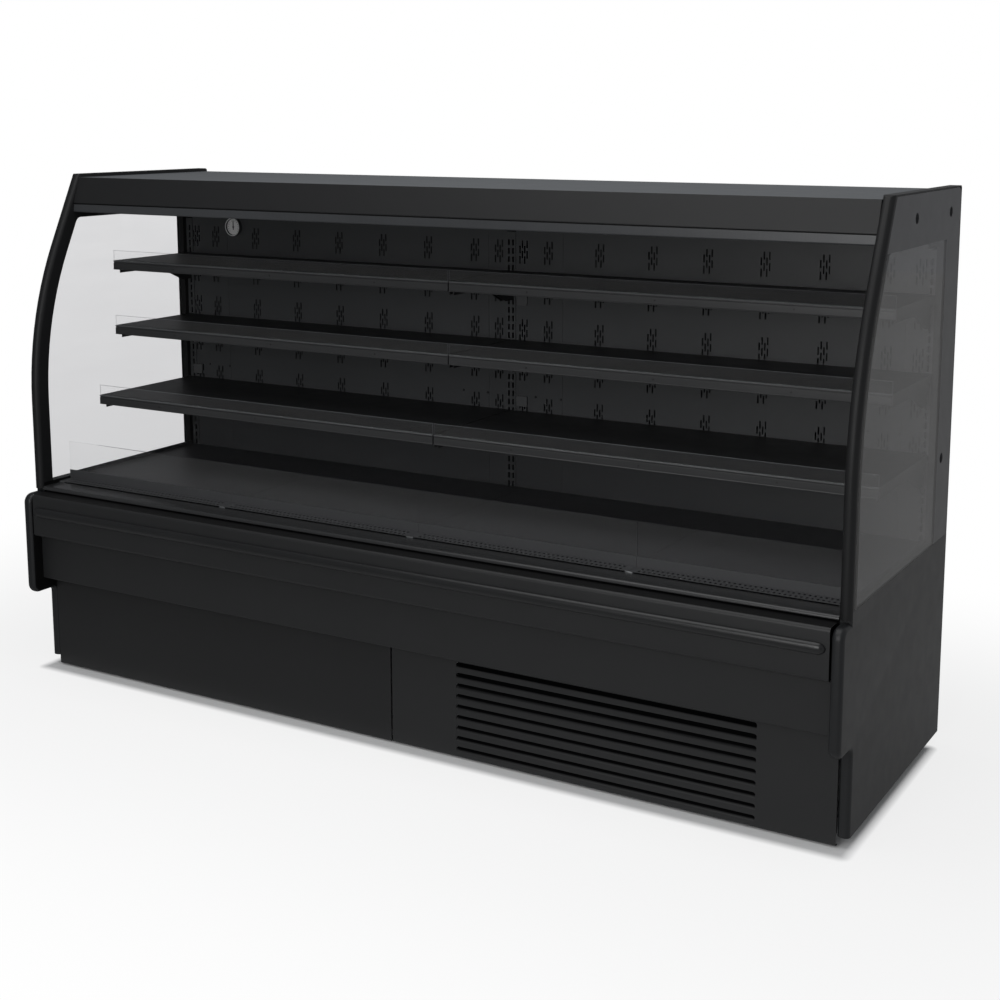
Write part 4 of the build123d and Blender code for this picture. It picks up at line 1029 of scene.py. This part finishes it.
# %% Honeycomb tree
low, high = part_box("air_honeycomb")
HONEYCOMB = {
    "Length": high.x - low.x, "Width": high.y - low.y, "Height": high.z - low.z, "Cell": 0.0066,
    "Place X": (low.x + high.x) / 2, "Place Y": (low.y + high.y) / 2, "Place Z": low.z,
}
CELL_PITCH = 0.0142
tree, size = start_tree("honeycomb", HONEYCOMB)
cell = circle(tree, 6, size["Cell"])
cell_turn = (0, 0, math.radians(30))
comb = perforated(tree, size, size["Length"], size["Width"], cell, size["Height"], cell_turn)
comb_tree = end_tree(tree, size, placed(tree, size, comb))
row_pitch = CELL_PITCH * math.sqrt(3) / 2
rows = int((HONEYCOMB["Width"] - 0.016) / row_pitch) + 1
columns = int((HONEYCOMB["Length"] - 0.030) / CELL_PITCH)
spots = [
    ((column - (columns - 1) / 2 + (row % 2) / 2 - 0.25) * CELL_PITCH, (row - (rows - 1) / 2) * row_pitch, 0)
    for row in range(rows) for column in range(columns)
]
comb_mesh = grow("honeycomb", comb_tree, spots, HONEYCOMB, finishes["honeycomb"])
stand_in("honeycomb", comb_mesh, "air_honeycomb")
print("honeycomb cells:", len(spots), "faces:", len(comb_mesh.polygons))

# %% [markdown]
# ## Coils
# A coil is a stack of thin aluminium fins on copper tubes that run to and fro. Both are plain
# repeats: a fin on each point of one row, and a tube with its return bend on each point of another.

# %% Coil trees
FIN = {"Thickness": 0.0008, "Depth": 0.2, "Height": 0.1}
tree, size = start_tree("fin_pack", FIN)
fin_size = vector(tree, size["Thickness"], size["Depth"], size["Height"])
fin_tree = end_on_points(tree, size, wire(tree, "GeometryNodeMeshCube", Size=fin_size).outputs["Mesh"])

TUBE = {"Length": 1.0, "Radius": 0.0055, "Bend": 0.016}
tree, size = start_tree("tube_and_bend", TUBE)
half = size["Length"] * 0.5
run = wire(
    tree, "GeometryNodeCurvePrimitiveLine", Start=vector(tree, x=half * -1.0), End=vector(tree, x=half),
).outputs[0]
bend = wire(
    tree, "GeometryNodeCurveArc", Resolution=9, Radius=size["Bend"],
    Start_Angle=math.radians(-90), Sweep_Angle=math.radians(180),
).outputs[0]
bend = moved(tree, bend, vector(tree, x=half, z=size["Bend"]), UPRIGHT)
ring = circle(tree, 10, size["Radius"])
pipes = [
    wire(tree, "GeometryNodeCurveToMesh", Curve=curve, Profile_Curve=ring, Fill_Caps=True).outputs[0]
    for curve in (run, bend)
]
tube_tree = end_on_points(tree, size, join(tree, *pipes))
print("coil trees ready")

# %% Make both coils
def coil(name, node, fin_pitch, tube_rows, tube_columns):
    """A pack of fins on rows of tubes, inside the box of a CAD node."""
    low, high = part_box(node)
    middle = (low + high) / 2
    extent = high - low
    bend = extent.z / (4 * tube_rows)
    reach = extent.x - 2 * (bend + 0.008)
    count = int(reach / fin_pitch)
    fins = grow("fins", fin_tree, [
        (middle.x + (n - (count - 1) / 2) * fin_pitch, middle.y, middle.z) for n in range(count)
    ], FIN | {"Depth": extent.y, "Height": extent.z}, finishes["fin_aluminium"])
    tubes = grow("tubes", tube_tree, [
        (middle.x, low.y + (column + 0.5) * extent.y / tube_columns, low.z + (row + 0.25) * extent.z / tube_rows)
        for row in range(tube_rows) for column in range(tube_columns)
    ], TUBE | {"Length": reach, "Bend": bend}, finishes["copper"])
    tubes.shade_smooth()
    mesh = united(name, fins, tubes)
    mesh.set_sharp_from_angle(angle=math.radians(40))
    stand_in(name, mesh, node)
    print(name, "fins:", count, "faces:", len(mesh.polygons))


skin("copper", (0.60, 0.26, 0.14), 0.34, drift=0.2, metallic=1.0)
coil("evaporator", "evaporator_coil", 0.0065, 3, 5)
coil("condenser", "condenser_coil", 0.0030, 5, 3)

# %% [markdown]
# ## Fans
# Each fan wheel has five pitched blades round a hub. A blade is a formula surface: its points lie
# on circles round the axle, and they are lifted along it by the pitch, which is steeper near the hub.

# %% Fan tree
FAN = {
    "Blades": 5, "Hub": 0.026, "Tip": 0.096, "Chord": 0.050, "Rise": 0.020, "Camber": 0.004, "Thickness": 0.0018,
    "Hub Length": 0.022, "Place X": 0.0, "Place Y": 0.0, "Place Z": 0.0,
}
tree, size = start_tree("fan_wheel", FAN)
mesh, along, across = grid(tree, 9, 11)
radius = size["Hub"] * 0.97 + along * (size["Hub"] * 0.03 + (size["Tip"] - size["Hub"]))
offset = across - 0.5
sweep = offset * (along * 0.55 + 0.62) * size["Chord"]
angle = sweep / radius + along * 0.35
lift = offset * size["Rise"] * (along * -0.35 + 1.0)
arch = size["Camber"] * (1.0 - offset * offset * 4.0)
blade = shaped(tree, mesh, radius * calc(tree, "COSINE", angle), radius * calc(tree, "SINE", angle), lift + arch)
hubs = wire(tree, "GeometryNodePoints", Count=size["Blades"]).outputs[0]
number = Number(tree, wire(tree, "GeometryNodeInputIndex").outputs[0])
turn = vector(tree, z=number * calc(tree, "DIVIDE", 2 * math.pi, size["Blades"]))
blades = on_points(tree, hubs, thicken(tree, blade, size["Thickness"]), turn)
blades = moved(tree, blades, vector(tree, z=size["Hub Length"] * 0.5))
barrel = cone(tree, 40, size["Hub"], size["Hub"], size["Hub Length"] * 0.82)
cap = cone(tree, 40, size["Hub"] * 0.84, size["Hub"], size["Hub Length"] * 0.18)
cap = moved(tree, cap, vector(tree, z=size["Hub Length"] * 0.82))
fan_tree = end_tree(tree, size, placed(tree, size, join(tree, blades, barrel, cap), UPRIGHT))
for name, node in (
    ("fan_left", "evaporator_fan_left"), ("fan_right", "evaporator_fan_right"), ("fan_condenser", "condenser_fan"),
):
    low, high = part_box(node)
    middle = (low + high) / 2
    mesh = grow(name, fan_tree, [(0, 0, 0)], FAN | {
        "Tip": (high.x - low.x) / 2 - 0.001, "Place X": middle.x, "Place Z": middle.z,
        "Place Y": middle.y + FAN["Hub Length"] / 2,
    }, finishes["fan_plastic"])
    mesh.shade_smooth()
    mesh.set_sharp_from_angle(angle=math.radians(40))
    stand_in(name, mesh, node)
    print(name, "box:", [round(v, 3) for v in (*low, *high)], "faces:", len(mesh.polygons))
